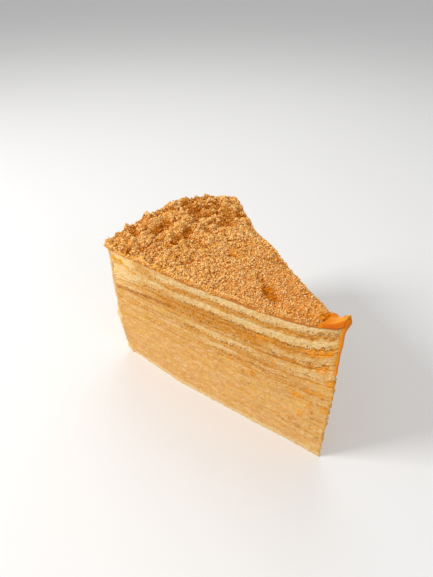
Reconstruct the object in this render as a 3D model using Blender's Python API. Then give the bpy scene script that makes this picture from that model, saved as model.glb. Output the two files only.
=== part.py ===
"""A tall wedge slice of honey layer cake, standing as it was cut.

Frame: metres, +Z up. The origin lies on the base plane, under the middle of the wedge's plan. +X runs
along the wedge's centre line to the thin end, the cut faces look to -Y and +Y, and the curved outer wall
of the cake is at -X.

Pieces, from the base up:
    biscuit_01 ... biscuit_12   soft biscuit layers
    cream_01 ... cream_11       cream fillings between them, thinner and set a little back
    honey_glaze                 thin glaze over the top biscuit, with a lip and a drip at the thin end
    crumb_topping               bed of cake crumbs on the glaze, with its largest clumps fused on
    rim_coat                    cream spread round the curved outer wall

A point of a slab is named by u, from 0 at the thin end to 1 at the outer wall, and by t, from -1 on the
-Y cut face to +1 on the +Y cut face.
"""

import math
import random

import bmesh
import bpy
from mathutils import Vector, noise

MM = 0.001

# Plan of the wedge
CAKE_RADIUS = 120 * MM
SLICE_ANGLE = math.radians(38)
TIP_HALF_WIDTH = 0.6 * MM
NEAR_CORNER_INSET = 1.3 * MM
NEAR_CORNER_FOOT_INSET = 2.2 * MM
NEAR_CORNER_FOOT_HEIGHT = 9 * MM
NEAR_CORNER_START = 0.6
FAR_FACE_DIP = 2.2 * MM
FAR_FACE_DIP_RADIUS = 84 * MM
FAR_FACE_DIP_SPREAD = 12 * MM

# Outer wall: upright, tucked in at its foot
WALL_BULGE = 0.9 * MM
WALL_TUCK = 4.0 * MM
WALL_TUCK_HEIGHT = 13 * MM

# Stack of layers
BISCUITS = 12
STACK_HEIGHT = 66 * MM
FIRST_PITCH = 4.3
PITCH_GROWTH = 0.28
BISCUIT_SHARE = 0.62

# How the stack sags and lifts along its length
SETTLE = 0.098
SETTLE_LENGTH = 45 * MM
TIP_CURL = 8.2 * MM
TIP_CURL_LENGTH = 8 * MM
CURL_LEVELS = (0.40, 0.85)
RIM_RISE = 2.5 * MM
RIM_RISE_LEVELS = (0.93, 1.0)
RIM_DROOP = 2.2 * MM
RIM_DROOP_LEVEL = 0.86
RIM_DROOP_SPREAD = 0.09
RIM_LENGTH = 13 * MM
WAVE_HEIGHT = 0.3 * MM
WAVE_LENGTH = 70 * MM

# Cut faces
BISCUIT_INSET = 0.15 * MM
CREAM_INSET = 0.6 * MM
CUT_ROUGHNESS = 0.35 * MM
CUT_ROUGHNESS_LENGTH = 9 * MM
TIP_ROUGHNESS = 0.5 * MM
TIP_RECESS = 1.0 * MM
TIP_BULGE = 0.5 * MM
TIP_BULGE_HEIGHT = 40 * MM
TIP_BULGE_SPREAD = 16 * MM
TIP_SHAPE_LENGTH = 4 * MM
TIP_INSET_FADE = 0.7

# Gap between neighbouring pieces
GAP = 0.3 * MM

# Honey glaze
GLAZE_THICKNESS = 0.9 * MM
GLAZE_LIP_RISE = 2.4 * MM
GLAZE_LIP_LENGTH = 9 * MM
GLAZE_LIP_REACH = 1.5 * MM
GLAZE_REACH_LENGTH = 3 * MM
GLAZE_NOSE_DROP = 1.6 * MM
GLAZE_NOSE_LENGTH = 1.2 * MM
DRIP_THICKNESS = 0.8 * MM
DRIP_HALF_WIDTH = 0.9 * MM
DRIP_FOOT = 52.5 * MM
DRIP_FOOT_WIDTH = 0.55
DRIP_ROWS = 5

# Cream coat on the outer wall
COAT_THICKNESS = 2.0 * MM
COAT_FOOT = 0.4 * MM
COAT_RELIEF = 0.45 * MM
COAT_RELIEF_LENGTH = 11 * MM
COAT_SMEARS = ((27 * MM, -1.0, 1.7 * MM), (3.0 * MM, -1.0, 1.5 * MM), (46 * MM, 0.35, 0.8 * MM))
COAT_SMEAR_HEIGHT = 2.2 * MM
COAT_SMEAR_WIDTH = 0.13

# Crumb topping
BED_START = 9.5 * MM
BED_THICKNESS = 1.9 * MM
BED_RELIEF = 0.9 * MM
BED_RELIEF_LENGTH = 5.5 * MM
BED_RIM_HEAP = 5.6 * MM
BED_RIM_HEAP_SKEW = 0.3
BED_RIM_HEAP_START = 0.45
BED_RIM_THINNING = 0.9 * MM
BED_CLEARANCE = 0.6 * MM
BED_OVERHANG = 0.7 * MM
BED_RAGGEDNESS = 0.7 * MM
CLUMPS = 112
CLUMP_RADII = (2.1 * MM, 1.1 * MM)
CLUMP_SPACING = 4.6 * MM
CLUMP_LIFT = 0.30
CLUMP_SQUASH = 0.8
CLUMP_JITTER = 0.22
CLUMP_SEED = 11

# Mesh resolution
SLAB_ROWS = 13
SLAB_COLUMNS = 4
ROW_GRADING = 1.5
ROW_EASING = 0.35
BED_ROWS = 28
BED_COLUMNS = 12
COAT_ROWS = 14
COAT_COLUMNS = 12

HALF_ANGLE = SLICE_ANGLE / 2
TIP_X = 2 / 3 * CAKE_RADIUS * math.sin(HALF_ANGLE) / HALF_ANGLE

# Finish of each kind of piece: colour (linear RGB), roughness
FINISHES = {
    "biscuit": ((0.74, 0.42, 0.16), 0.85),
    "cream": ((0.80, 0.50, 0.22), 0.60),
    "glaze": ((0.62, 0.17, 0.015), 0.25),
    "crumb": ((0.68, 0.33, 0.09), 0.90),
    "coat": ((0.84, 0.58, 0.24), 0.55),
}


def clear_scene():
    """Remove every object that the new file starts with."""
    for item in list(bpy.data.objects):
        bpy.data.objects.remove(item, do_unlink=True)


def finish(kind):
    """Return the material of one kind of piece, made on first use."""
    material = bpy.data.materials.get(kind)
    if material is None:
        colour, roughness = FINISHES[kind]
        material = bpy.data.materials.new(kind)
        material.use_nodes = True
        shader = material.node_tree.nodes["Principled BSDF"]
        shader.inputs["Base Color"].default_value = (*colour, 1.0)
        shader.inputs["Roughness"].default_value = roughness
        shader.inputs["Metallic"].default_value = 0.0
    return material


def smoothstep(low, high, value):
    """Ease from 0 at low to 1 at high."""
    share = min(max((value - low) / (high - low), 0.0), 1.0)
    return share * share * (3 - 2 * share)


def bell(distance):
    """Return a bump of height 1 that fades past a distance of 1."""
    return math.exp(-distance * distance)


def layer_levels():
    """Return the heights between layers, bottom to top, as shares of the stack's height."""
    heights = [0.0]
    for index in range(BISCUITS):
        pitch = FIRST_PITCH + PITCH_GROWTH * index
        heights.append(heights[-1] + pitch * BISCUIT_SHARE)
        if index < BISCUITS - 1:
            heights.append(heights[-1] + pitch * (1 - BISCUIT_SHARE))
    return [height / heights[-1] for height in heights]


LEVELS = layer_levels()


def wall_radius(z):
    """Return the outer wall's radius at height z."""
    return CAKE_RADIUS + WALL_BULGE - WALL_TUCK * math.exp(-z / WALL_TUCK_HEIGHT)


def plan_point(radius, t, inset=0.0, z=STACK_HEIGHT):
    """Return x and y at a distance from the thin end, inset from the cut faces by the given amount."""
    angle = HALF_ANGLE * t
    if t > 0:
        inset += FAR_FACE_DIP * bell((radius - FAR_FACE_DIP_RADIUS) / FAR_FACE_DIP_SPREAD)
    else:
        foot = NEAR_CORNER_FOOT_INSET * math.exp(-z / NEAR_CORNER_FOOT_HEIGHT)
        inset += (NEAR_CORNER_INSET + foot) * smoothstep(NEAR_CORNER_START, 1.0, radius / CAKE_RADIUS)
    x = TIP_X - radius * math.cos(angle)
    y = radius * math.sin(angle) + t * (TIP_HALF_WIDTH - inset)
    return x, y


def interface_height(index, radius, t):
    """Return the height of the surface between two layers, index 0 being the base plane."""
    level = LEVELS[index]
    x, y = plan_point(radius, t)
    rim = math.exp((radius - CAKE_RADIUS) / RIM_LENGTH)
    height = STACK_HEIGHT * level * (1 + SETTLE * math.exp(-radius / SETTLE_LENGTH))
    height += TIP_CURL * math.exp(-radius / TIP_CURL_LENGTH) * smoothstep(*CURL_LEVELS, level)
    height += RIM_RISE * rim * smoothstep(*RIM_RISE_LEVELS, level)
    height -= RIM_DROOP * rim * bell((level - RIM_DROOP_LEVEL) / RIM_DROOP_SPREAD)
    wave = noise.noise(Vector((x / WAVE_LENGTH, y / WAVE_LENGTH, index * 0.37)))
    return height + WAVE_HEIGHT * wave * min(1.0, level * 8)


def row_radius(u, end):
    """Return the distance of row u from the thin end: rows are closer at both ends, the last is at end."""
    graded = u**ROW_GRADING * (1 + ROW_EASING * (1 - u))
    inner = (CAKE_RADIUS - COAT_THICKNESS) * graded
    return end if u > 1 - 1e-6 else min(inner, end)


def shell(name, kind, rows, columns, inner, outer):
    """Make one closed piece between two surfaces, each a function of u and t over the same grid."""
    mesh = bmesh.new()
    bmesh.ops.create_grid(mesh, x_segments=rows, y_segments=columns, size=1.0)
    place = {vertex: ((vertex.co.x + 1) / 2, vertex.co.y) for vertex in mesh.verts}
    grown = bmesh.ops.extrude_face_region(mesh, geom=list(mesh.faces), use_keep_orig=True)
    raised = [item for item in grown["geom"] if isinstance(item, bmesh.types.BMVert)]
    for vertex in raised:
        vertex.co = outer((vertex.co.x + 1) / 2, vertex.co.y)
    for vertex, (u, t) in place.items():
        vertex.co = inner(u, t)
    bmesh.ops.triangulate(mesh, faces=list(mesh.faces))
    bmesh.ops.recalc_face_normals(mesh, faces=list(mesh.faces))
    data = bpy.data.meshes.new(name)
    mesh.to_mesh(data)
    mesh.free()
    data.materials.append(finish(kind))
    piece = bpy.data.objects.new(name, data)
    bpy.context.scene.collection.objects.link(piece)
    return piece


def tip_setback(index, height, side):
    """Return how far a layer stops short of the thin end's line: recessed behind the drip, bulged below."""
    if height > DRIP_FOOT - 2 * GAP:
        return TIP_RECESS
    bulge = TIP_BULGE * bell((height - TIP_BULGE_HEIGHT) / TIP_BULGE_SPREAD)
    return TIP_ROUGHNESS * (1 + noise.noise(Vector((index * 2.3, side * 1.9, 0.5)))) - bulge


def layer(name, kind, index, base_inset):
    """Make the slab between interfaces index and index + 1, with unevenly cut sides."""

    def surface(level_index, lift):
        def point(u, t):
            end_height = interface_height(level_index, CAKE_RADIUS, t)
            end = wall_radius(end_height) - COAT_THICKNESS - GAP
            radius = row_radius(u, end)
            side = math.copysign(1.0, t)
            tip_height = interface_height(index + 1, 0.0, t)
            radius += tip_setback(index, tip_height, side) * math.exp(-radius / TIP_SHAPE_LENGTH)
            rough = noise.noise(Vector((radius / CUT_ROUGHNESS_LENGTH, index * 1.7, side * 5.3)))
            fade = 1 - TIP_INSET_FADE * math.exp(-radius / TIP_SHAPE_LENGTH)
            inset = (base_inset + CUT_ROUGHNESS * rough) * fade
            z = 0.0 if level_index == 0 else interface_height(level_index, radius, t) + lift
            x, y = plan_point(radius, t, inset, z)
            return Vector((x, y, z))

        return point

    return shell(name, kind, SLAB_ROWS, SLAB_COLUMNS, surface(index, GAP / 2), surface(index + 1, -GAP / 2))


def make_layers():
    """Make the biscuits and the creams between them."""
    for index in range(len(LEVELS) - 1):
        number = index // 2 + 1
        if index % 2 == 0:
            layer(f"biscuit_{number:02d}", "biscuit", index, BISCUIT_INSET)
        else:
            layer(f"cream_{number:02d}", "cream", index, CREAM_INSET)


def top_height(radius, t):
    """Return the height of the top biscuit's upper surface."""
    return interface_height(len(LEVELS) - 1, radius, t)


def glaze_top(radius, t):
    """Return the height of the glaze's upper surface, which rises into a lip at the thin end."""
    lip = GLAZE_LIP_RISE * math.exp(-radius / GLAZE_LIP_LENGTH)
    return top_height(radius, t) + GAP + GLAZE_THICKNESS + lip


def lip_widening(radius):
    """Return how far the glaze stands out of the cut faces at the thin end."""
    return (DRIP_HALF_WIDTH - TIP_HALF_WIDTH + BISCUIT_INSET) * math.exp(-radius / TIP_SHAPE_LENGTH)


def make_glaze():
    """Make the glaze as one sheet that starts at the drip's foot, rises to the lip and runs to the wall."""
    rows = SLAB_ROWS + DRIP_ROWS
    face_x = TIP_X - TIP_RECESS + GAP

    def place(u):
        step = u * rows
        return step / DRIP_ROWS, (step - DRIP_ROWS) / SLAB_ROWS

    def side(t, climb):
        width = DRIP_FOOT_WIDTH + (1 - DRIP_FOOT_WIDTH) * math.sqrt(min(climb * 2, 1.0))
        return t * DRIP_HALF_WIDTH * width

    def inner(u, t):
        climb, along = place(u)
        if climb < 1 - 1e-6:
            z = DRIP_FOOT + (top_height(0, t) + GAP - DRIP_FOOT) * climb
            return Vector((face_x, side(t, climb), z))
        radius = row_radius(along, wall_radius(STACK_HEIGHT) - GAP)
        radius += (TIP_RECESS - GAP) * math.exp(-radius / TIP_SHAPE_LENGTH)
        x, y = plan_point(radius, t, BISCUIT_INSET - lip_widening(radius))
        return Vector((x, y, top_height(radius, t) + GAP))

    def outer(u, t):
        climb, along = place(u)
        if climb < 1 - 1e-6:
            z = DRIP_FOOT + (glaze_top(0, t) - GLAZE_LIP_RISE - DRIP_FOOT) * climb
            reach = DRIP_THICKNESS + (GLAZE_LIP_REACH - DRIP_THICKNESS) * climb**4
            return Vector((face_x + reach, side(t, climb), z))
        radius = row_radius(along, wall_radius(STACK_HEIGHT) - GAP)
        x, y = plan_point(radius, t, BISCUIT_INSET - lip_widening(radius))
        reach = (GLAZE_LIP_REACH - TIP_RECESS + GAP) * math.exp(-radius / GLAZE_REACH_LENGTH)
        nose = GLAZE_NOSE_DROP * math.exp(-radius / GLAZE_NOSE_LENGTH)
        return Vector((x + reach, y, glaze_top(radius, t) - nose))

    shell("honey_glaze", "glaze", rows, SLAB_COLUMNS, inner, outer)


def make_coat():
    """Make the cream on the outer wall, with trowel waves and a few smears that stand out of it."""

    def upright(u, t):
        return COAT_FOOT + (top_height(CAKE_RADIUS, t) - COAT_FOOT) * u

    def inner(u, t):
        z = upright(u, t)
        x, y = plan_point(wall_radius(z) - COAT_THICKNESS, t, BISCUIT_INSET, z)
        return Vector((x, y, z))

    def outer(u, t):
        z = upright(u, t)
        arc = CAKE_RADIUS * HALF_ANGLE * t
        wave = noise.noise(Vector((arc, z, 0.0)) / COAT_RELIEF_LENGTH) * COAT_RELIEF
        for height, place, reach in COAT_SMEARS:
            across = (t - place) / COAT_SMEAR_WIDTH
            wave += reach * bell((z - height) / COAT_SMEAR_HEIGHT) * bell(across)
        x, y = plan_point(wall_radius(z) + wave, t, BISCUIT_INSET, z)
        return Vector((x, y, z))

    shell("rim_coat", "coat", COAT_ROWS, COAT_COLUMNS, inner, outer)


def bed_edges(u, t):
    """Return the distance from the thin end and the inset of a point of the ragged crumb bed."""
    start = BED_START * (1 + 0.25 * noise.noise(Vector((t * 2.1, 3.3, 0.0))))
    end = wall_radius(STACK_HEIGHT) + BED_OVERHANG + BED_RAGGEDNESS * noise.noise(Vector((t * 9.0, 7.1, 0.0)))
    radius = start + (end - start) * u
    rough = noise.noise(Vector((radius / BED_RELIEF_LENGTH, math.copysign(4.7, t), 0.0)))
    return radius, BED_RAGGEDNESS * rough


def bed_top(radius, t, u):
    """Return the height of the crumb bed's upper surface, thin at its start and heaped towards the wall."""
    x, y = plan_point(radius, t)
    relief = BED_RELIEF * noise.noise(Vector((x, y, 0.02)) / BED_RELIEF_LENGTH)
    crown = BED_RIM_HEAP * (1 - t * t) * (1 + BED_RIM_HEAP_SKEW * t) - BED_RIM_THINNING
    heap = crown * smoothstep(BED_RIM_HEAP_START, 1.0, u)
    taper = BED_THICKNESS * 0.45 * (1 - smoothstep(0.0, 0.12, u))
    return glaze_top(radius, t) + BED_CLEARANCE + BED_THICKNESS + heap - taper + relief


def clump(centre, radius, draw):
    """Return one irregular clump of crumbs as a mesh object."""
    mesh = bmesh.new()
    bmesh.ops.create_icosphere(mesh, subdivisions=1, radius=radius)
    stretch = 1 + draw.uniform(-CLUMP_JITTER, CLUMP_JITTER)
    for vertex in mesh.verts:
        scale = 1 + draw.uniform(-CLUMP_JITTER, CLUMP_JITTER)
        offset = Vector((vertex.co.x * stretch, vertex.co.y / stretch, vertex.co.z * CLUMP_SQUASH)) * scale
        vertex.co = centre + offset
    data = bpy.data.meshes.new("clump")
    mesh.to_mesh(data)
    mesh.free()
    return bpy.data.objects.new("clump", data)


def clump_places(draw):
    """Return centres and radii of the clumps, largest first, none closer than the spacing."""
    places = []
    for index in range(CLUMPS):
        share = (index / CLUMPS) ** 0.5
        radius = CLUMP_RADII[0] + (CLUMP_RADII[1] - CLUMP_RADII[0]) * share
        for _ in range(200):
            u = math.sqrt(draw.uniform(0.03, 0.97))
            t = draw.uniform(-0.9, 0.9)
            distance, _ = bed_edges(u, t)
            x, y = plan_point(distance, t, math.copysign(radius * 0.4, t) * t)
            clear = all(math.hypot(x - other.x, y - other.y) > CLUMP_SPACING for other, _ in places)
            if clear:
                places.append((Vector((x, y, bed_top(distance, t, u) + CLUMP_LIFT * radius)), radius))
                break
    return places


def make_topping():
    """Make the crumb bed and fuse its largest clumps to it."""

    def inner(u, t):
        radius, inset = bed_edges(u, t)
        x, y = plan_point(radius, t, inset)
        return Vector((x, y, glaze_top(radius, t) + BED_CLEARANCE))

    def outer(u, t):
        radius, inset = bed_edges(u, t)
        x, y = plan_point(radius, t, inset)
        return Vector((x, y, bed_top(radius, t, u)))

    bed = shell("crumb_topping", "crumb", BED_ROWS, BED_COLUMNS, inner, outer)
    draw = random.Random(CLUMP_SEED)
    clumps = bpy.data.collections.new("clumps")
    bpy.context.scene.collection.children.link(clumps)
    for centre, radius in clump_places(draw):
        clumps.objects.link(clump(centre, radius, draw))
    fuse = bed.modifiers.new("fuse", "BOOLEAN")
    fuse.operation = "UNION"
    fuse.operand_type = "COLLECTION"
    fuse.collection = clumps
    fuse.solver = "EXACT"
    bpy.context.view_layer.update()
    evaluated = bed.evaluated_get(bpy.context.evaluated_depsgraph_get())
    fused = bpy.data.meshes.new_from_object(evaluated)
    bed.modifiers.clear()
    bed.data = fused
    for item in list(clumps.objects):
        bpy.data.objects.remove(item, do_unlink=True)
    bpy.data.collections.remove(clumps)


def main():
    clear_scene()
    make_layers()
    make_glaze()
    make_coat()
    make_topping()


main()
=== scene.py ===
"""Slice of honey layer cake: the dressed model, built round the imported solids.

Frame: metres, +Z up, the origin on the base plane under the middle of the wedge's plan. +X runs to the
thin end, the cut faces look to -Y and +Y, and the curved outer wall is at -X.

A point of the slice is named by its distance from the thin end (along), by its spread t, from -1 on the
-Y cut face to +1 on the +Y one, and by its level, from 0 at the base to 1 on the top biscuit.
"""

import itertools
import logging
import math
from dataclasses import dataclass
from enum import Enum
from typing import Any

import bpy
import numpy as np
from mathutils import Matrix, Vector


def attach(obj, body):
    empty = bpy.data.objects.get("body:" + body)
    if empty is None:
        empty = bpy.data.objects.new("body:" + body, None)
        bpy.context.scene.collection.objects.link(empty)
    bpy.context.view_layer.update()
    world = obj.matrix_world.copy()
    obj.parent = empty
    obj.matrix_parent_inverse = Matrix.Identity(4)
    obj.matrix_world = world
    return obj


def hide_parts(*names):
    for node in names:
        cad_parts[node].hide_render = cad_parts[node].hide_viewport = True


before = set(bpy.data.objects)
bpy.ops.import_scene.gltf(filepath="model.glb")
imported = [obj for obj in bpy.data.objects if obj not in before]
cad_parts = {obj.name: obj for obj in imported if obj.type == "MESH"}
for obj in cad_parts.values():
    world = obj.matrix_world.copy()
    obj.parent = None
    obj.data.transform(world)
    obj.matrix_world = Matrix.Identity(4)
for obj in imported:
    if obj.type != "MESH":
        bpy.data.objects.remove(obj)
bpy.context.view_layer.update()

Array = np.ndarray
Number = float | np.ndarray
Values = dict[str, np.ndarray]
Colour = tuple[float, float, float]

MM = 0.001
LOG = logging.getLogger("cake_slice")


class Taste(Enum):
    """What a spot of a cut face has turned into."""

    SOAKED = "soaked"
    PALE = "pale"
    GEL = "gel"
    BROWNED = "browned"
    POROUS = "porous"


def smoothstep(low: float, high: float, value: Number) -> Number:
    """Ease from 0 at low to 1 at high."""
    share = np.clip((value - low) / (high - low), 0.0, 1.0)
    return share * share * (3 - 2 * share)


def bell(distance: Number) -> Number:
    """A bump of height 1 that fades past a distance of 1."""
    return np.exp(-np.square(distance))


class Lattice:
    """Value noise: random numbers on a cubic lattice, blended with smooth steps."""

    SIDE = 64

    def __init__(self, seed: int) -> None:
        """Draw the lattice.

        Args:
            seed: Start of the random draws.
        """
        self.table = np.random.default_rng(seed).uniform(-1.0, 1.0, (self.SIDE,) * 3)

    def __call__(self, points: Array, size: float | tuple[float, float, float], shift: float = 0.0) -> Array:
        """Sample the noise.

        Args:
            points: Places in metres, the last axis holding x, y and z.
            size: Size of a lattice cell in metres, one number or one per axis.
            shift: Moves the pattern, in cells, so that two uses differ.

        Returns:
            Values from -1 to 1, one per point.
        """
        scaled = points / np.asarray(size) + shift
        cell = np.floor(scaled).astype(int)
        part = scaled - cell
        part = part * part * (3 - 2 * part)
        total = np.zeros(points.shape[:-1])
        for corner in itertools.product((0, 1), repeat=3):
            weight = np.prod(np.where(corner, part, 1 - part), axis=-1)
            index = np.mod(cell + corner, self.SIDE)
            total += weight * self.table[index[..., 0], index[..., 1], index[..., 2]]
        return total


NOISE = Lattice(7)


def pack_points(*axes: Number) -> Array:
    """Join coordinates, arrays or single numbers that broadcast, along a new last axis."""
    return np.stack(np.broadcast_arrays(*axes), axis=-1)


def side_of(t: Array) -> Array:
    """-1 on the -Y half of the slice, +1 on the +Y half."""
    return np.where(t < 0, -1.0, 1.0)


def on_face(t: Array) -> Array:
    """Whether a point lies on a cut face."""
    return np.abs(t) > 0.999


def section(rise: Array, across: int) -> tuple[Array, Array]:
    """Ring of a cross-section: up the -Y face, across the top, down the +Y face and back underneath.

    Args:
        rise: Shares of the height at which a face has points, from 0 to 1.
        across: Points across the top, and as many underneath.

    Returns:
        Spread and share of the height, each as one row.
    """
    span = np.linspace(-1.0, 1.0, across + 2)[1:-1]
    face = np.ones(len(rise))
    spread = np.concatenate([-face, span, face, -span])
    share = np.concatenate([rise, np.ones(across), rise[::-1], np.zeros(across)])
    return spread[None, :], share[None, :]


@dataclass(frozen=True)
class SliceForm:
    """Plan, wall and sag of the slice, shared by all its pieces."""

    cake_radius: float = 120 * MM
    half_angle: float = math.radians(19)
    tip_half_width: float = 0.6 * MM
    near_inset: float = 1.3 * MM
    near_foot_inset: float = 2.2 * MM
    near_foot_height: float = 9 * MM
    near_start: float = 0.6
    far_dip: float = 2.2 * MM
    far_dip_along: float = 84 * MM
    far_dip_spread: float = 12 * MM
    wall_bulge: float = 0.9 * MM
    wall_tuck: float = 4.0 * MM
    wall_tuck_height: float = 13 * MM
    stack_height: float = 66 * MM
    biscuits: int = 12
    first_pitch: float = 4.3
    pitch_growth: float = 0.28
    biscuit_share: float = 0.62
    settle: float = 0.098
    settle_length: float = 45 * MM
    tip_curl: float = 8.2 * MM
    tip_curl_length: float = 8 * MM
    rim_rise: float = 2.5 * MM
    rim_droop: float = 2.2 * MM
    rim_length: float = 13 * MM
    wave: float = 0.3 * MM
    wave_length: float = 38 * MM
    tip_shape_length: float = 4 * MM
    coat_thickness: float = 2.0 * MM
    glaze_thickness: float = 1.2 * MM
    lip_rise: float = 2.4 * MM
    lip_length: float = 9 * MM
    drip_foot: float = 52.5 * MM
    nose: tuple[float, ...] = (0.03, 0.1, 0.2, 0.35, 0.55, 0.8, 1.1, 1.45, 1.8)
    nose_end: float = 2.2 * MM

    @property
    def tip_x(self) -> float:
        """Where the thin end stands on the centre line."""
        return 2 / 3 * self.cake_radius * math.sin(self.half_angle) / self.half_angle

    def levels(self) -> Array:
        """Levels between layers, biscuits and creams by turns, bottom to top."""
        pitch = self.first_pitch + self.pitch_growth * np.arange(self.biscuits)
        steps = pack_points(pitch * self.biscuit_share, pitch * (1 - self.biscuit_share)).ravel()[:-1]
        heights = np.concatenate([[0.0], np.cumsum(steps)])
        return heights / heights[-1]

    def stations(self, end: float, size: float) -> Array:
        """Distances of cross-sections from the thin end, a size apart and closer where it is rounded."""
        body = np.linspace(self.nose_end, end, int((end - self.nose_end) / size))
        return np.concatenate([np.array(self.nose) * MM, body])

    def wall(self, z: Number) -> Number:
        """Outer wall's distance from the thin end at height z: upright, tucked in at its foot."""
        return self.cake_radius + self.wall_bulge - self.wall_tuck * np.exp(-z / self.wall_tuck_height)

    def plan(self, along: Array, t: Array, inset: Number, z: Number) -> tuple[Array, Array]:
        """Place points in plan: a sector whose two faces are inset, rounded where they meet.

        Args:
            along: Distance from the thin end.
            t: Spread from one cut face to the other.
            inset: How far the cut face is set back.
            z: Height, for the corner that is tucked in at its foot.

        Returns:
            x and y.
        """
        angle = self.half_angle * t
        dip = self.far_dip * bell((along - self.far_dip_along) / self.far_dip_spread)
        foot = self.near_foot_inset * np.exp(-z / self.near_foot_height)
        corner = (self.near_inset + foot) * smoothstep(self.near_start, 1.0, along / self.cake_radius)
        round_part = 1 - np.clip(along / self.tip_half_width, 0.0, 1.0)
        blade = self.tip_half_width * np.sqrt(1 - round_part * round_part)
        room = blade + np.maximum(along, 0.0) * math.sin(self.half_angle)
        inset = np.minimum(inset + np.where(t > 0, dip, corner), 0.8 * room)
        x = self.tip_x - along * np.cos(angle)
        y = along * np.sin(angle) + t * (blade - inset)
        return x, y

    def height(self, level: Number, along: Number, t: Number) -> Number:
        """Height of a level: taller at the thin end, where the top curls up, and uneven at the rim.

        Args:
            level: 0 at the base, 1 on the top biscuit.
            along: Distance from the thin end.
            t: Spread from one cut face to the other.

        Returns:
            z in metres.
        """
        rim = np.exp((along - self.cake_radius) / self.rim_length)
        z = self.stack_height * level * (1 + self.settle * np.exp(-along / self.settle_length))
        z = z + self.tip_curl * np.exp(-along / self.tip_curl_length) * smoothstep(0.40, 0.85, level)
        z = z + self.rim_rise * rim * smoothstep(0.93, 1.0, level)
        z = z - self.rim_droop * rim * bell((level - 0.86) / 0.09)
        angle = self.half_angle * t
        place = pack_points(along * np.cos(angle), along * np.sin(angle), level * 4 * self.wave_length)
        return z + self.wave * NOISE(place, self.wave_length, 3.1) * np.minimum(1.0, level * 8)

    def glaze_top(self, along: Number, t: Number) -> Number:
        """Height of the glaze's upper surface, which rises into a lip at the thin end."""
        lip = self.lip_rise * np.exp(-along / self.lip_length)
        return self.height(1.0, along, t) + self.glaze_thickness + lip


FORM = SliceForm()


def tube_faces(rings: int, count: int) -> Array:
    """Quads of a tube of closed rings with both ends shut.

    Neighbouring rings are joined quad by quad. An end is shut by a ladder of quads between point i of the
    ring and point count - 1 - i, which fills any ring that starts in the middle of a side or at a corner.

    Args:
        rings: Number of rings.
        count: Points in a ring, an even number.

    Returns:
        Vertex numbers, four to a face.
    """
    base = np.arange(rings - 1)[:, None] * count
    here = np.arange(count)[None, :]
    after = (here + 1) % count
    corners = [base + here, base + after, base + count + after, base + count + here]
    walls = np.stack(corners, -1).reshape(-1, 4)
    step = np.arange(count // 2 - 1)
    ladder = np.stack([step, step + 1, count - 2 - step, count - 1 - step], 1)
    return np.concatenate([walls, ladder[:, ::-1], ladder + (rings - 1) * count])


def turned_outwards(points: Array, faces: Array) -> Array:
    """Turn all faces round if the volume they enclose, summed over triangles from the origin, is negative.

    Args:
        points: Vertices, one to a row.
        faces: Vertex numbers, one face to a row.

    Returns:
        The faces, looking outwards.
    """
    corners = points[faces]
    volume = 0.0
    for second in range(1, faces.shape[1] - 1):
        cross = np.cross(corners[:, second], corners[:, second + 1])
        volume += float(np.sum(corners[:, 0] * cross))
    return faces if volume > 0 else faces[:, ::-1]


def make_piece(name: str, points: Array, faces: Array, values: Values, material: Any) -> Any:
    """Make one finished piece at the origin from whole arrays.

    Args:
        name: Name of the piece.
        points: Vertices, in any grid shape with x, y and z last.
        faces: Vertex numbers of faces that all have the same number of corners.
        values: Numbers per vertex that its material reads by name.
        material: The piece's finish.

    Returns:
        The object.
    """
    points = np.ascontiguousarray(points.reshape(-1, 3))
    faces = np.ascontiguousarray(turned_outwards(points, faces), dtype=np.int32)
    mesh = bpy.data.meshes.new(name)
    mesh.vertices.add(len(points))
    mesh.vertices.foreach_set("co", points.ravel())
    mesh.loops.add(faces.size)
    mesh.loops.foreach_set("vertex_index", faces.ravel())
    mesh.polygons.add(len(faces))
    mesh.polygons.foreach_set("loop_start", np.arange(0, faces.size, faces.shape[1], dtype=np.int32))
    mesh.polygons.foreach_set("use_smooth", np.ones(len(faces), dtype=bool))
    mesh.update(calc_edges=True)
    for key, value in values.items():
        stored = mesh.attributes.new(key, "FLOAT", "POINT")
        stored.data.foreach_set("value", np.ascontiguousarray(value.ravel(), dtype=np.float32))
    mesh.materials.append(material)
    piece = bpy.data.objects.new(name, mesh)
    bpy.context.scene.collection.objects.link(piece)
    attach(piece, "root")
    LOG.info("%s: %d points, %d faces", name, len(points), len(faces))
    return piece


def make_tube(name: str, points: Array, values: Values, material: Any) -> Any:
    """Make a piece from closed rings of points.

    Args:
        name: Name of the piece.
        points: Vertices, one ring to a row.
        values: Numbers that its material reads by name, of a shape that broadcasts to the rings.
        material: The piece's finish.

    Returns:
        The object.
    """
    every = np.ones(points.shape[:2])
    full = {key: value * every for key, value in values.items()}
    return make_piece(name, points, tube_faces(*points.shape[:2]), full, material)


# ---------------------------------------------------------------- finishes


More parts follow.
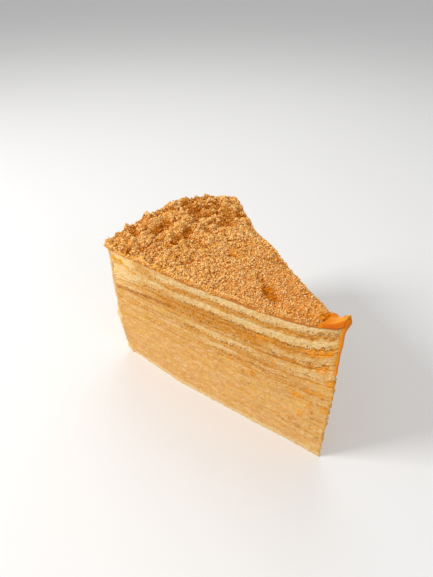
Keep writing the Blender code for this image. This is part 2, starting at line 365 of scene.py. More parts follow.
class Signal:
    """A shader socket that adds, subtracts and multiplies like a number."""

    def __init__(self, recipe: "Recipe", socket: Any) -> None:
        """Wrap a socket.

        Args:
            recipe: The node tree it belongs to.
            socket: An output socket that carries one number.
        """
        self.recipe = recipe
        self.socket = socket

    def _with(self, operation: str, first: Any, second: Any) -> "Signal":
        """Add a Math node for two numbers or signals."""
        made = self.recipe.node("ShaderNodeMath", {"operation": operation}, {0: first, 1: second})
        return Signal(self.recipe, made.outputs[0])

    def __add__(self, other: Any) -> "Signal":
        """Sum."""
        return self._with("ADD", self, other)

    def __radd__(self, other: Any) -> "Signal":
        """Sum with a number on the left."""
        return self._with("ADD", other, self)

    def __sub__(self, other: Any) -> "Signal":
        """Difference."""
        return self._with("SUBTRACT", self, other)

    def __rsub__(self, other: Any) -> "Signal":
        """Difference from a number on the left."""
        return self._with("SUBTRACT", other, self)

    def __mul__(self, other: Any) -> "Signal":
        """Product."""
        return self._with("MULTIPLY", self, other)

    def over(self, low: float) -> "Signal":
        """How far the number is above low, 0 below it."""
        return self._with("MAXIMUM", self - low, 0.0)

    def between(self, low: float, high: float) -> "Signal":
        """Ease from 0 at low to 1 at high.

        Args:
            low: Value that gives 0, which may be the larger of the two.
            high: Value that gives 1.

        Returns:
            The eased signal.
        """
        ends = {"From Min": min(low, high), "From Max": max(low, high)}
        rise = {"To Min": float(low > high), "To Max": float(low < high)}
        settings = {"interpolation_type": "SMOOTHSTEP"}
        made = self.recipe.node("ShaderNodeMapRange", settings, {"Value": self, **ends, **rise})
        return Signal(self.recipe, made.outputs[0])


class Recipe:
    """One material's node tree, with a Principled shader at its end."""

    def __init__(self, name: str) -> None:
        """Start an empty tree.

        Args:
            name: Name of the material.
        """
        self.material = bpy.data.materials.new(name)
        self.material.use_nodes = True
        self.tree = self.material.node_tree
        self.shader = self.tree.nodes["Principled BSDF"]
        self.place = self.node("ShaderNodeTexCoord", {}, {}).outputs["Object"]

    def node(self, kind: str, settings: dict[str, Any], inputs: dict[Any, Any]) -> Any:
        """Add a node.

        Args:
            kind: The node's type.
            settings: Its properties, set first.
            inputs: Values or links of its sockets, by name or number.

        Returns:
            The node.
        """
        made = self.tree.nodes.new(kind)
        for key, value in settings.items():
            setattr(made, key, value)
        for key, value in inputs.items():
            self.feed(made.inputs[key], value)
        return made

    def feed(self, socket: Any, value: Any) -> None:
        """Link a signal or socket to a socket, or set its value."""
        if isinstance(value, Signal):
            self.tree.links.new(value.socket, socket)
        elif isinstance(value, bpy.types.NodeSocket):
            self.tree.links.new(value, socket)
        elif isinstance(value, tuple) and len(value) == 3 and socket.type == "RGBA":
            socket.default_value = (*value, 1.0)
        else:
            socket.default_value = value

    def read(self, name: str) -> Signal:
        """Read the number that the mesh stores under a name."""
        made = self.node("ShaderNodeAttribute", {"attribute_name": name}, {})
        return Signal(self, made.outputs["Fac"])

    def axes(self) -> tuple[Signal, Signal, Signal]:
        """Split the object coordinates into x, y and z."""
        made = self.node("ShaderNodeSeparateXYZ", {}, {0: self.place})
        return tuple(Signal(self, made.outputs[index]) for index in range(3))

    def vector(self, x: Signal, y: Signal, z: Signal) -> Any:
        """Join three signals into a vector socket."""
        return self.node("ShaderNodeCombineXYZ", {}, {0: x, 1: y, 2: z}).outputs[0]

    def grain(self, place: Any, size: float, detail: float = 2.0, rough: float = 0.55) -> Signal:
        """Noise from about 0.25 to 0.75 with features of a size in metres."""
        inputs = {"Vector": place, "Scale": 1 / size, "Detail": detail, "Roughness": rough}
        return Signal(self, self.node("ShaderNodeTexNoise", {}, inputs).outputs[0])

    def cells(self, place: Any, size: float) -> Signal:
        """Distance to the nearest of the scattered points, 0 to about 1, for cells of a size in metres."""
        inputs = {"Vector": place, "Scale": 1 / size, "Randomness": 1.0}
        return Signal(self, self.node("ShaderNodeTexVoronoi", {}, inputs).outputs["Distance"])

    def blend(self, factor: Any, first: Any, second: Any) -> Any:
        """Mix two colours."""
        settings = {"data_type": "RGBA", "clamp_factor": True}
        return self.node("ShaderNodeMix", settings, {0: factor, 6: first, 7: second}).outputs[2]

    def bump(self, height: Signal, depth: float, strength: float) -> None:
        """Tilt the surface's normal by a height signal, its depth in metres."""
        made = self.node("ShaderNodeBump", {}, {"Height": height, "Distance": depth, "Strength": strength})
        self.feed(self.shader.inputs["Normal"], made.outputs[0])

    def finish(self, colour: Any, rough: Any, fixed: dict[str, Any]) -> Any:
        """Feed the shader.

        Args:
            colour: Base colour.
            rough: Roughness.
            fixed: Values that are the same all over, by socket name.

        Returns:
            The material.
        """
        self.feed(self.shader.inputs["Base Color"], colour)
        self.feed(self.shader.inputs["Roughness"], rough)
        for key, value in fixed.items():
            self.feed(self.shader.inputs[key], value)
        return self.material


@dataclass(frozen=True)
class LayerFinish:
    """Cut face of a biscuit or a cream: streaked along the layer, porous, soaked in spots, with painted shade
    in its pores.
    """

    name: str
    dark: Colour
    light: Colour
    pale: Colour = (0.79, 0.565, 0.265)
    soaked: Colour = (0.58, 0.210, 0.010)
    gel: Colour = (0.82, 0.290, 0.000)
    rim_gel: Colour = (0.74, 0.340, 0.008)
    rim_pale: Colour = (0.88, 0.62, 0.275)
    browned: Colour = (0.40, 0.110, 0.006)
    # colour of the painted shade inside the pores
    pore_shade: Colour = (0.36, 0.100, 0.002)
    straw: Colour = (0.78, 0.450, 0.100)
    rosy: Colour = (0.74, 0.370, 0.135)
    creamy: Colour = (0.84, 0.545, 0.270)
    amber: Colour = (0.68, 0.300, 0.030)
    lower: Colour = (0.755, 0.415, 0.140)
    lower_rim: Colour = (0.70, 0.370, 0.135)
    blotch_size: float = 3.4 * MM
    ribbon_size: float = 16 * MM
    streak_size: float = 5.0 * MM
    low_squeeze: float = 3.4
    streak_squeeze: float = 3.1
    crumb_size: float = 0.85 * MM
    mottle_size: float = 2.2 * MM
    pore_size: float = 1.25 * MM
    depth: float = 0.55 * MM
    strength: float = 1.0
    roughness: float = 0.85

    def build(self) -> Any:
        """Build the material.

        Returns:
            The material, which reads the numbers of the cut face's tastes and its stack height.
        """
        recipe = Recipe(self.name)
        x, y, _ = recipe.axes()
        stack = recipe.read("stack")
        calm = x.between(-14 * MM, -34 * MM)
        flat = recipe.vector(x, y, stack * self.low_squeeze + stack.over(28 * MM) * self.streak_squeeze)
        even = recipe.vector(x, y, stack * 1.5)
        streak = recipe.grain(flat, self.streak_size, 3.0)
        crumb = recipe.grain(even, self.crumb_size, 2.0, 0.7)
        mottle = recipe.grain(even, self.mottle_size, 2.0, 0.6)
        cloud = recipe.grain(recipe.vector(x, y, stack * 3.0), 9 * MM, 2.0)
        blotch = recipe.grain(recipe.vector(x, y, stack * 2.2), self.blotch_size, 2.0, 0.6)
        ribbon = recipe.grain(recipe.vector(x, y, stack * 9.0), self.ribbon_size, 2.0)
        holes = recipe.cells(even, self.pore_size).between(0.38, 0.14)
        low = stack.between(40 * MM, 18 * MM)
        colour = recipe.blend(streak * 0.8 + mottle * 0.9 - 0.35, self.dark, self.light)
        lower = recipe.blend(x.between(25 * MM, -25 * MM), self.lower, self.lower_rim)
        colour = recipe.blend(low * (mottle * 0.3 + 0.55), colour, lower)
        colour = recipe.blend(cloud.between(0.48, 0.66) * 0.6, colour, self.straw)
        colour = recipe.blend(cloud.between(0.46, 0.32) * 0.55, colour, self.rosy)
        colour = recipe.blend(blotch.between(0.47, 0.33) * 0.50, colour, self.amber)
        colour = recipe.blend(ribbon.between(0.48, 0.36) * (0.40 - low * 0.28), colour, self.amber)
        colour = recipe.blend(ribbon.between(0.54, 0.68) * (0.45 - low * 0.20), colour, self.creamy)
        colour = recipe.blend(blotch.between(0.54, 0.66) * 0.60, colour, self.creamy)
        soaked = recipe.read(Taste.SOAKED.value)
        colour = recipe.blend(soaked * (1.45 - mottle * 1.1), colour, self.soaked)
        pale = recipe.read(Taste.PALE.value)
        paste = recipe.blend(calm, self.pale, self.rim_pale)
        colour = recipe.blend(pale * mottle.between(0.20, 0.55), colour, paste)
        browned = recipe.read(Taste.BROWNED.value)
        colour = recipe.blend(browned * (crumb * 1.6 + 0.1), colour, self.browned)
        gel = recipe.read(Taste.GEL.value)
        jelly = recipe.blend(x.between(-15 * MM, -32 * MM), self.gel, self.rim_gel)
        colour = recipe.blend(gel * (crumb * 1.3 + 0.35), colour, jelly)
        porous = recipe.read(Taste.POROUS.value)
        # pores painted dark: painted shade inside each pit, which the bump below also sinks
        pit = holes * (porous + 0.04) * (mottle.between(0.66, 0.44) * 0.65 + 0.35)
        colour = recipe.blend(pit, colour, self.pore_shade)
        specks = crumb.between(0.50, 0.32) * (porous * 0.50 + 0.45 - low * 0.28) * (1.0 - calm * 0.5)
        colour = recipe.blend(specks, colour, self.soaked)
        colour = recipe.blend(crumb.between(0.50, 0.66) * 0.50, colour, self.pale)
        relief = crumb * 0.7 + streak * (0.25 - low * 0.15) + mottle * 0.4 - pit * 0.9
        height = relief * (stack.between(30 * MM, 52 * MM) * 0.5 + 0.5) * (1.0 - calm * 0.5)
        recipe.bump(height, self.depth, self.strength)
        rough = self.roughness - gel * 0.35 - soaked * 0.08
        return recipe.finish(colour, rough, {"IOR": 1.40, "Specular IOR Level": 0.15})


@dataclass(frozen=True)
class CrumbFinish:
    """Dry cake crumbs: each its own shade of colour, with painted shade, orange and dark, where they lie
    deep.
    """

    name: str = "golden_crumbs"
    light: Colour = (1.00, 0.680, 0.300)
    middle: Colour = (0.90, 0.390, 0.018)
    # colour of the painted shade where the crumbs lie deep
    deep: Colour = (0.64, 0.192, 0.000)
    size: float = 0.45 * MM
    depth: float = 0.20 * MM
    strength: float = 0.8

    def build(self) -> Any:
        """Build the material.

        Returns:
            The material, which reads each crumb's shade of colour (toast) and how deep it lies (sunk), which
            sets its painted shade.
        """
        recipe = Recipe(self.name)
        grain = recipe.grain(recipe.place, self.size, 2.0, 0.7)
        cloud = recipe.grain(recipe.place, 8 * MM, 2.0)
        toast = recipe.read("toast")
        sunk = recipe.read("sunk")
        colour = recipe.blend(toast + (grain - 0.5) * 0.8, self.light, self.middle)
        # painted shade: the deep colour where a crumb lies deep among the others
        colour = recipe.blend(sunk * (cloud * 0.8 + 0.7), colour, self.deep)
        recipe.bump(grain, self.depth, self.strength)
        return recipe.finish(colour, 0.9, {"IOR": 1.45, "Specular IOR Level": 0.03})


@dataclass(frozen=True)
class GlazeFinish:
    """Amber honey glaze: glossy, deeper in colour where it is thick, with a painted highlight along its
    crest.
    """

    name: str = "amber_glaze"
    thin: Colour = (0.50, 0.158, 0.024)
    thick: Colour = (0.74, 0.225, 0.000)
    deep: Colour = (0.62, 0.120, 0.000)
    # colour of the painted highlight
    lit: Colour = (0.92, 0.420, 0.050)
    size: float = 4.0 * MM
    roughness: float = 0.34

    def build(self) -> Any:
        """Build the material.

        Returns:
            The material, which reads how thick the glaze lies, less so on top as painted light, and where its
            crest gets a painted highlight.
        """
        recipe = Recipe(self.name)
        cloud = recipe.grain(recipe.place, self.size, 3.0)
        fine = recipe.grain(recipe.place, 0.9 * MM, 2.0)
        thick = recipe.read("thick")
        colour = recipe.blend(thick * 1.6, self.thin, self.thick)
        colour = recipe.blend(thick.between(0.55, 1.0) * (cloud + 0.35), colour, self.deep)
        # painted highlight along the crest of the lip and down the side of the drip
        colour = recipe.blend(recipe.read("painted_highlight") * (cloud + 0.3), colour, self.lit)
        recipe.bump(cloud * 0.6 + fine * 0.4, 0.3 * MM, 0.5)
        rough = self.roughness + (fine - 0.5) * 0.25
        return recipe.finish(colour, rough, {"IOR": 1.48, "Specular IOR Level": 0.10})


@dataclass(frozen=True)
class CoatFinish:
    """Cream spread round the wall: pale, streaked by the knife, soaked towards the layers behind it."""

    name: str = "rim_cream"
    cream: Colour = (0.86, 0.62, 0.30)
    warm: Colour = (0.76, 0.42, 0.13)
    stained: Colour = (0.56, 0.235, 0.07)

    def build(self) -> Any:
        """Build the material.

        Returns:
            The material, which reads how much of the layers shows through (stain).
        """
        recipe = Recipe(self.name)
        x, y, z = recipe.axes()
        streaks = recipe.grain(recipe.vector(x, y, z * 1.8), 9 * MM, 2.0)
        cloud = recipe.grain(recipe.place, 14 * MM, 3.0)
        fine = recipe.grain(recipe.place, 0.9 * MM, 2.0, 0.7)
        stain = recipe.read("stain")
        colour = recipe.blend(streaks.between(0.30, 0.60) * 0.7 + 0.3, self.warm, self.cream)
        colour = recipe.blend(cloud.between(0.48, 0.70) * 0.5, colour, self.warm)
        colour = recipe.blend(stain * (streaks + 0.4), colour, self.stained)
        colour = recipe.blend(fine.between(0.46, 0.26) * 0.25, colour, self.stained)
        recipe.bump(streaks * 0.6 + fine * 0.4, 0.35 * MM, 0.5)
        return recipe.finish(colour, 0.62 + (fine - 0.5) * 0.3, {"IOR": 1.42, "Specular IOR Level": 0.4})


# ---------------------------------------------------------------- layers


@dataclass(frozen=True)
class Band:
    """A soft-edged streak or spot of a cut face, in millimetres: it runs through points (along, stack)."""

    taste: Taste
    path: tuple[tuple[float, float], ...]
    height: float
    strength: float = 1.0
    feather: float = 1.6

    def mask(self, along: Array, stack: Array) -> Array:
        """Strength of the band, nearly flat across its height and steep past it.

        Args:
            along: Distance from the thin end.
            stack: Height in the unsagged stack.

        Returns:
            The strength at each place.
        """
        places, centres = np.array(self.path).T
        centre = np.interp(along / MM, places, centres)
        across = ((stack / MM - centre) / self.height) ** 2
        ends = smoothstep(places[0] - self.feather, places[0] + 0.3 * self.feather, along / MM)
        ends = ends * smoothstep(places[-1] + self.feather, places[-1] - 0.3 * self.feather, along / MM)
        return self.strength * ends * bell(across)


BANDS = (
    # top biscuit and the amber line under it
    Band(Taste.PALE, ((0, 64.4), (58, 64.4), (75, 63.9), (90, 62.7)), 1.9, 1.0, 5),
    Band(Taste.POROUS, ((4, 62.3), (60, 62.2), (95, 61.4)), 0.9, 0.8, 3),
    Band(Taste.SOAKED, ((2, 60.3), (20, 60.2)), 0.6, 1.0),
    Band(Taste.BROWNED, ((2, 60.3), (19, 60.2)), 0.35, 0.8),
    Band(Taste.SOAKED, ((18, 60.9), (62, 60.9), (88, 59.9)), 0.9, 0.8, 3),
    Band(Taste.GEL, ((104, 60.0), (110, 61.1), (114, 62.6), (119, 63.8)), 0.7, 0.9),
    # second biscuit, pored along its lower edge
    Band(Taste.PALE, ((3, 57.1), (38, 57.2)), 1.8, 0.95, 2),
    Band(Taste.PALE, ((38, 57.7), (58, 57.8), (80, 56.8)), 1.7, 0.7, 6),
    Band(Taste.POROUS, ((3, 55.0), (37, 55.0), (73, 55.3)), 0.9, 1.2, 3),
    Band(Taste.GEL, ((3.4, 53.2), (5.0, 53.4)), 1.3, 1.3, 0.8),
    Band(Taste.GEL, ((6.6, 53.5), (9.0, 53.8)), 1.4, 1.3, 0.8),
    Band(Taste.GEL, ((10.6, 53.9), (14.0, 54.3)), 0.9, 1.1, 0.8),
    Band(Taste.BROWNED, ((3.0, 54.2), (4.8, 54.3)), 0.9, 1.5, 0.6),
    Band(Taste.BROWNED, ((6.2, 54.2), (8.6, 54.4)), 1.0, 1.6, 0.6),
    Band(Taste.BROWNED, ((10.0, 54.5), (12.0, 54.6)), 0.8, 1.3, 0.6),
    Band(Taste.BROWNED, ((13, 54.8), (22, 54.6), (36, 54.6), (72, 54.9)), 0.45, 0.65, 3),
    # soaked bands below it
    Band(Taste.GEL, ((3.5, 52.1), (8, 52.4)), 1.3, 0.7),
    Band(Taste.GEL, ((8, 52.9), (16, 53.2)), 0.7, 0.6),
    Band(Taste.SOAKED, ((3, 52.9), (20, 53.0), (36, 53.2)), 1.6, 1.0),
    Band(Taste.GEL, ((28, 53.0), (35.5, 53.2)), 1.3, 0.6),
    Band(Taste.SOAKED, ((34, 51.2), (60, 50.8), (90, 50.6)), 3.4, 0.75, 4),
    Band(Taste.PALE, ((4, 49.4), (26, 49.0)), 1.3, 0.5, 3),
    Band(Taste.GEL, ((3.0, 45.9), (5.0, 45.8)), 1.1, 1.2, 0.8),
    Band(Taste.GEL, ((6.2, 45.6), (8.4, 45.5)), 1.2, 1.3, 0.8),
    Band(Taste.BROWNED, ((3.4, 47.0), (5.6, 46.8)), 0.8, 1.5, 0.6),
    Band(Taste.BROWNED, ((7.0, 46.6), (8.6, 46.5)), 0.7, 1.4, 0.6),
    Band(Taste.SOAKED, ((6, 46.1), (28, 46.2)), 0.9, 1.0),
    Band(Taste.GEL, ((12, 46.4), (24, 46.4)), 0.4, 0.5),
    Band(Taste.BROWNED, ((8, 47.0), (30, 47.0)), 0.35, 0.4, 3),
    Band(Taste.BROWNED, ((20, 36.6), (46, 36.6), (60, 36.0)), 0.5, 0.6, 3),
    Band(Taste.POROUS, ((18, 36.8), (60, 36.4)), 0.8, 0.9, 3),
    Band(Taste.SOAKED, ((46, 41.6), (80, 41.0)), 0.9, 0.6, 4),
    Band(Taste.POROUS, ((4, 47.1), (30, 47.0)), 0.6, 1.0),
    Band(Taste.SOAKED, ((28, 45.7), (46, 45.2)), 0.7, 0.45, 3),
    Band(Taste.BROWNED, ((80, 49.8), (95, 48.7), (102, 47.9), (118, 46.2)), 1.0, 0.9, 4),
    # rim end
    Band(Taste.PALE, ((88, 58.3), (108, 58.7), (117, 58.2)), 1.4, 0.75, 5),
    Band(Taste.PALE, ((104, 57.2), (119, 56.8)), 3.6, 1.1, 5),
    Band(Taste.PALE, ((106, 63.2), (120, 62.5)), 2.6, 0.9, 5),
    Band(Taste.GEL, ((114.5, 61.0), (118.5, 61.8)), 0.7, 0.4),
    Band(Taste.GEL, ((110.0, 59.8), (111.5, 59.9)), 0.5, 0.3),
    Band(Taste.PALE, ((101, 49.6), (119, 49.0)), 0.7, 0.8, 3),
    Band(Taste.PALE, ((108, 54.0), (118, 52.5)), 2.6, 0.35, 3),
    Band(Taste.GEL, ((112.0, 62.4), (118, 63.0)), 0.8, 0.9),
    Band(Taste.GEL, ((116.3, 57.4), (117, 57.4)), 0.9, 0.5),
    Band(Taste.GEL, ((114.5, 29.0), (118, 29.5)), 1.3, 0.7),
    Band(Taste.GEL, ((112.5, 7.0), (114, 6.6)), 1.1, 0.7),
    # middle of the stack
    Band(Taste.PALE, ((3, 42.4), (25, 42.4)), 1.7, 0.5, 3),
    Band(Taste.PALE, ((38, 44.6), (71, 44.5)), 1.2, 0.6, 4),
    Band(Taste.PALE, ((49, 38.2), (64, 38.0)), 1.3, 0.5, 3),
    Band(Taste.PALE, ((76, 40.8), (85, 39.6)), 1.2, 0.4, 3),
    Band(Taste.SOAKED, ((20, 39.5), (42, 40.2)), 2.2, 0.35, 4),
    Band(Taste.POROUS, ((40, 42.8), (75, 42.5)), 1.0, 0.8, 3),
    Band(Taste.POROUS, ((19, 37.0), (31, 36.7)), 0.7, 1.1),
    Band(Taste.POROUS, ((58, 50.0), (72, 49.0)), 2.5, 0.5, 3),
    Band(Taste.GEL, ((4, 34.8), (11, 34.8)), 0.5, 0.8),
    Band(Taste.SOAKED, ((4, 34.6), (30, 34.6)), 1.0, 0.5, 3),
    Band(Taste.GEL, ((0, 40.0), (2.3, 39.8)), 0.9, 1.0),
    Band(Taste.BROWNED, ((0, 40.2), (2.0, 40.1)), 0.9, 1.2),
    Band(Taste.GEL, ((26.5, 42.5), (27.0, 42.5)), 0.7, 0.8),
    Band(Taste.GEL, ((36, 31.7), (38.6, 31.4)), 1.3, 0.7),
    Band(Taste.BROWNED, ((36.0, 32.0), (37.6, 31.7)), 1.0, 1.3),
    Band(Taste.GEL, ((12.5, 30.6), (15, 30.8)), 0.8, 1.1),
    Band(Taste.BROWNED, ((12.5, 30.9), (13.5, 30.9)), 0.5, 1.0),
    Band(Taste.GEL, ((16.4, 30.0), (17.2, 30.0)), 2.2, 0.9),
    Band(Taste.BROWNED, ((16.6, 30.8), (17.0, 30.8)), 1.3, 0.8),
    Band(Taste.GEL, ((2, 28.6), (4.2, 28.6)), 1.1, 0.6),
    Band(Taste.GEL, ((41.5, 34.5), (43.3, 34.8)), 1.5, 0.5),
    Band(Taste.GEL, ((48.5, 35.0), (49.5, 35.0)), 0.9, 0.5),
    Band(Taste.GEL, ((12.0, 20.8), (13.2, 20.4)), 1.9, 0.7),
    Band(Taste.GEL, ((6.2, 15.0), (7.0, 15.0)), 0.9, 0.6),
    Band(Taste.GEL, ((24.0, 20.0), (24.8, 20.0)), 0.6, 0.6),
    Band(Taste.GEL, ((35.0, 20.5), (36.0, 20.4)), 0.7, 0.6),
    # foot
    Band(Taste.PALE, ((4, 9.7), (20, 9.6)), 0.5, 0.7, 3),
    Band(Taste.PALE, ((0, 1.0), (60, 0.9), (121, 0.7)), 1.7, 1.1, 3),
)


@dataclass(frozen=True)
class LayerLook:
    """Tints, pores, groove and pits of one layer's cut face, and the height of the rows at its edges."""

    pale: float = 0.0
    soaked: float = 0.0
    porous: float = 0.1
    groove: float = 0.05 * MM
    pits: float = 0.30 * MM
    edge: float = 0.30 * MM


BISCUIT_LOOKS = {
    12: LayerLook(pale=0.10, porous=0.35, groove=0.25 * MM, pits=0.45 * MM),
    11: LayerLook(pale=0.10, porous=0.50, groove=0.25 * MM, pits=0.60 * MM),
    10: LayerLook(soaked=0.10, porous=0.35, groove=0.15 * MM, pits=0.55 * MM),
    9: LayerLook(pale=0.10, porous=0.40, groove=0.15 * MM, pits=0.50 * MM),
    8: LayerLook(pale=0.10, porous=0.30, groove=0.12 * MM, pits=0.45 * MM),
    7: LayerLook(pale=0.05, porous=0.25, groove=0.08 * MM, pits=0.40 * MM),
}

CREAM_LOOKS = {
    11: LayerLook(soaked=0.20, porous=0.20, groove=0.20 * MM, pits=0.20 * MM),
    10: LayerLook(soaked=0.25, porous=0.35, groove=0.22 * MM, pits=0.35 * MM),
    9: LayerLook(soaked=0.20, porous=0.35, groove=0.15 * MM, pits=0.35 * MM),
    8: LayerLook(soaked=0.18, porous=0.25, groove=0.12 * MM, pits=0.30 * MM),
    7: LayerLook(soaked=0.15, porous=0.25, groove=0.08 * MM, pits=0.25 * MM),
}

PLAIN_BISCUIT = LayerLook(pale=0.04, porous=0.14, groove=0.03 * MM, pits=0.28 * MM, edge=0.12 * MM)
PLAIN_CREAM = LayerLook(soaked=0.07, porous=0.08, groove=0.03 * MM, pits=0.16 * MM, edge=0.12 * MM)


@dataclass
class CakeStack:
    """The biscuits and creams: each a tube of cross-sections carried from the thin end to the wall."""

    biscuit_inset: float = 0.15 * MM
    cream_inset: float = 0.45 * MM
    low_cream_inset: float = 0.22 * MM
    row_size: float = 0.42 * MM
    column_size: float = 0.40 * MM
    across: int = 5
    rough: float = 0.35 * MM
    rough_length: float = 9 * MM
    tear: float = 0.14 * MM
    crumb: float = 0.22 * MM
    torn: float = 0.5 * MM
    tip_recess: float = 1.0 * MM
    tip_rough: float = 0.5 * MM
    tip_bulge: float = 0.5 * MM

    def setback(self, level: Array, side: Array) -> Array:
        """How far the thin end stops short of its line: recessed behind the drip, ragged and bulged below.

        Args:
            level: 0 at the base, 1 on the top biscuit.
            side: -1 or +1 for the cut face.

        Returns:
            The distance in metres.
        """
        z = FORM.height(level, 0.0, 0.0)
        bulge = self.tip_bulge * bell((z - 40 * MM) / (16 * MM))
        uneven = NOISE(pack_points(0.0, side * MM, z), 1.6 * MM, 9.2)
        ragged = self.tip_rough * (1 + 1.5 * uneven) - bulge
        behind = smoothstep(-1.0, 1.0, (z - FORM.drip_foot) / MM)
        return ragged * (1 - behind) + self.tip_recess * behind

    def relief(self, along: Array, side: Array, stack: Array, share: Array, look: LayerLook) -> Array:
        """How far the cut face is set back by roughness, tears, crumb, pits and a groove at each edge.

        Roughness and crumb are round noise, tears are noise drawn out along the layer, a pit opens where
        fine noise is high, and the groove is the fourth power of the distance from the layer's middle.

        Args:
            along: Distance from the thin end.
            side: -1 or +1 for the cut face.
            stack: Height in the unsagged stack.
            share: Height within the layer, 0 to 1.
            look: The layer's look.

        Returns:
            The inset in metres.
        """
        place = pack_points(along, side * 0.31, stack)
        rough = self.rough * NOISE(place, self.rough_length, 1.3)
        tear = self.tear * NOISE(place, (4.5 * MM, MM, 0.7 * MM), 5.7)
        crumb = self.crumb * NOISE(place, 0.9 * MM, 8.1)
        open_pit = smoothstep(0.32, 0.62, NOISE(place, (1.1 * MM, MM, 0.75 * MM), 2.9))
        pits = look.pits * open_pit * (0.15 + 0.85 * (1 - share) ** 2) * (0.4 + look.porous)
        groove = look.groove * np.abs(2 * share - 1) ** 4
        uneven = 0.4 + 0.9 * np.abs(NOISE(place, 7 * MM, 3.8)) + 0.9 * np.exp(-along / (20 * MM))
        uneven = uneven * (1 - 0.8 * smoothstep(90 * MM, 106 * MM, along))
        torn = self.torn * smoothstep(0.15, 0.6, NOISE(place, (2.2 * MM, MM, 1.0 * MM), 4.9))
        torn = torn * np.exp(-along / (26 * MM)) * smoothstep(30 * MM, 42 * MM, stack)
        return rough + tear + crumb + pits + groove * uneven + torn

    def tastes(self, along: Array, side: Array, stack: Array, share: Array, look: LayerLook) -> Values:
        """Numbers that the finish reads: the look's shares, broken by noise, and the spots.

        Args:
            along: Distance from the thin end.
            side: -1 or +1 for the cut face.
            stack: Height in the unsagged stack.
            share: Height within the layer, 0 to 1.
            look: The layer's look.

        Returns:
            Strengths by the name of the taste.
        """
        place = pack_points(along, side * 0.31, stack)
        sway = 0.7 * MM * NOISE(place, (6 * MM, MM, 3 * MM), 4.4)
        near_tip = np.exp(-along / (22 * MM))
        fray = (0.5 + 0.9 * near_tip) * MM * NOISE(place, 1.3 * MM, 9.7)
        broken = NOISE(place, (8 * MM, MM, 1.6 * MM), 6.6)
        fine = NOISE(place, (1.5 * MM, MM, 0.9 * MM), 7.7)
        low_edge = smoothstep(0.55, 0.05, share)
        below = smoothstep(46 * MM, 34 * MM, stack) * smoothstep(4 * MM, 12 * MM, stack)
        spots = smoothstep(0.36, 0.62, NOISE(place, (2.0 * MM, MM, 1.5 * MM), 12.6))
        burnt = smoothstep(0.42, 0.62, NOISE(place, (1.6 * MM, MM, 1.1 * MM), 13.7))
        stains = smoothstep(0.25, 0.65, NOISE(place, (4.5 * MM, MM, 1.8 * MM), 10.3))
        inner = 1 - 0.85 * smoothstep(90 * MM, 104 * MM, along)
        soaked = look.soaked * (1 + 1.2 * broken) * inner
        made = {
            Taste.PALE: look.pale * (1 + 0.8 * broken),
            Taste.SOAKED: soaked + 0.55 * stains * below * (0.25 + near_tip),
            Taste.BROWNED: 0.6 * burnt * below * (0.20 + np.exp(-along / (34 * MM))),
            Taste.POROUS: look.porous * (0.15 + 1.2 * low_edge) * inner,
            Taste.GEL: 0.75 * spots * below * (0.08 + near_tip),
        }
        far = np.where(side > 0, 2.5 * MM, 0.0)
        for band in BANDS:
            mask = band.mask(along - far + 2 * sway, stack + sway + fray)
            made[band.taste] = made[band.taste] + mask * (1 + 0.35 * broken + 0.55 * fine)
        return {key.value: np.clip(value, 0.0, 1.2) for key, value in made.items()}

    def layer(self, name: str, index: int, look: LayerLook, inset: float, material: Any) -> Any:
        """Make the layer between two levels.

        Its ring runs up the -Y face, across the top, down the +Y face and back along the underside; the
        ring is carried along the slice, its faces set back by the relief.

        Args:
            name: Name of the piece.
            index: Number of the level under it.
            look: How its cut faces look.
            inset: How far its faces are set back.
            material: Its finish.

        Returns:
            The object.
        """
        low, high = FORM.levels()[index : index + 2]
        thickness = (high - low) * FORM.stack_height
        inner = max(4, round(thickness / self.row_size) + 1)
        edge = look.edge / thickness
        rise = np.concatenate([[0.0], np.linspace(edge, 1.0 - edge, inner), [1.0]])
        t, share = section(rise, self.across)
        level = low + (high - low) * share
        side = side_of(t)
        inside = FORM.cake_radius - FORM.coat_thickness
        end = FORM.wall(FORM.height(level, FORM.cake_radius, t)) - FORM.coat_thickness
        along = FORM.stations(inside, self.column_size)[:, None] * end / inside
        stack = level * FORM.stack_height
        cut = self.relief(along, side, stack, share, look)
        near_tip = np.exp(-along / FORM.tip_shape_length)
        shape = along + self.setback(level, side) * near_tip
        z = FORM.height(level, shape, t)
        x, y = FORM.plan(along, t, (inset + cut) * (1 - 0.6 * near_tip), z)
        x = x - (shape - along)
        values = {"stack": stack, **self.tastes(along, side, stack, share, look)}
        return make_tube(name, pack_points(x, y, z), values, material)

    def build(self, biscuit: Any, cream: Any) -> None:
        """Build every layer.

        Args:
            biscuit: Finish of the biscuits.
            cream: Finish of the creams.
        """
        for index in range(2 * FORM.biscuits - 1):
            number = index // 2 + 1
            if index % 2 == 0:
                look = BISCUIT_LOOKS.get(number, PLAIN_BISCUIT)
                piece = self.layer(f"soft_biscuit_{number:02d}", index, look, self.biscuit_inset, biscuit)
                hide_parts(f"biscuit_{number:02d}")
            else:
                look = CREAM_LOOKS.get(number, PLAIN_CREAM)
                inset = self.cream_inset if number > 6 else self.low_cream_inset
                piece = self.layer(f"cream_filling_{number:02d}", index, look, inset, cream)
                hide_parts(f"cream_{number:02d}")


# ---------------------------------------------------------------- glaze


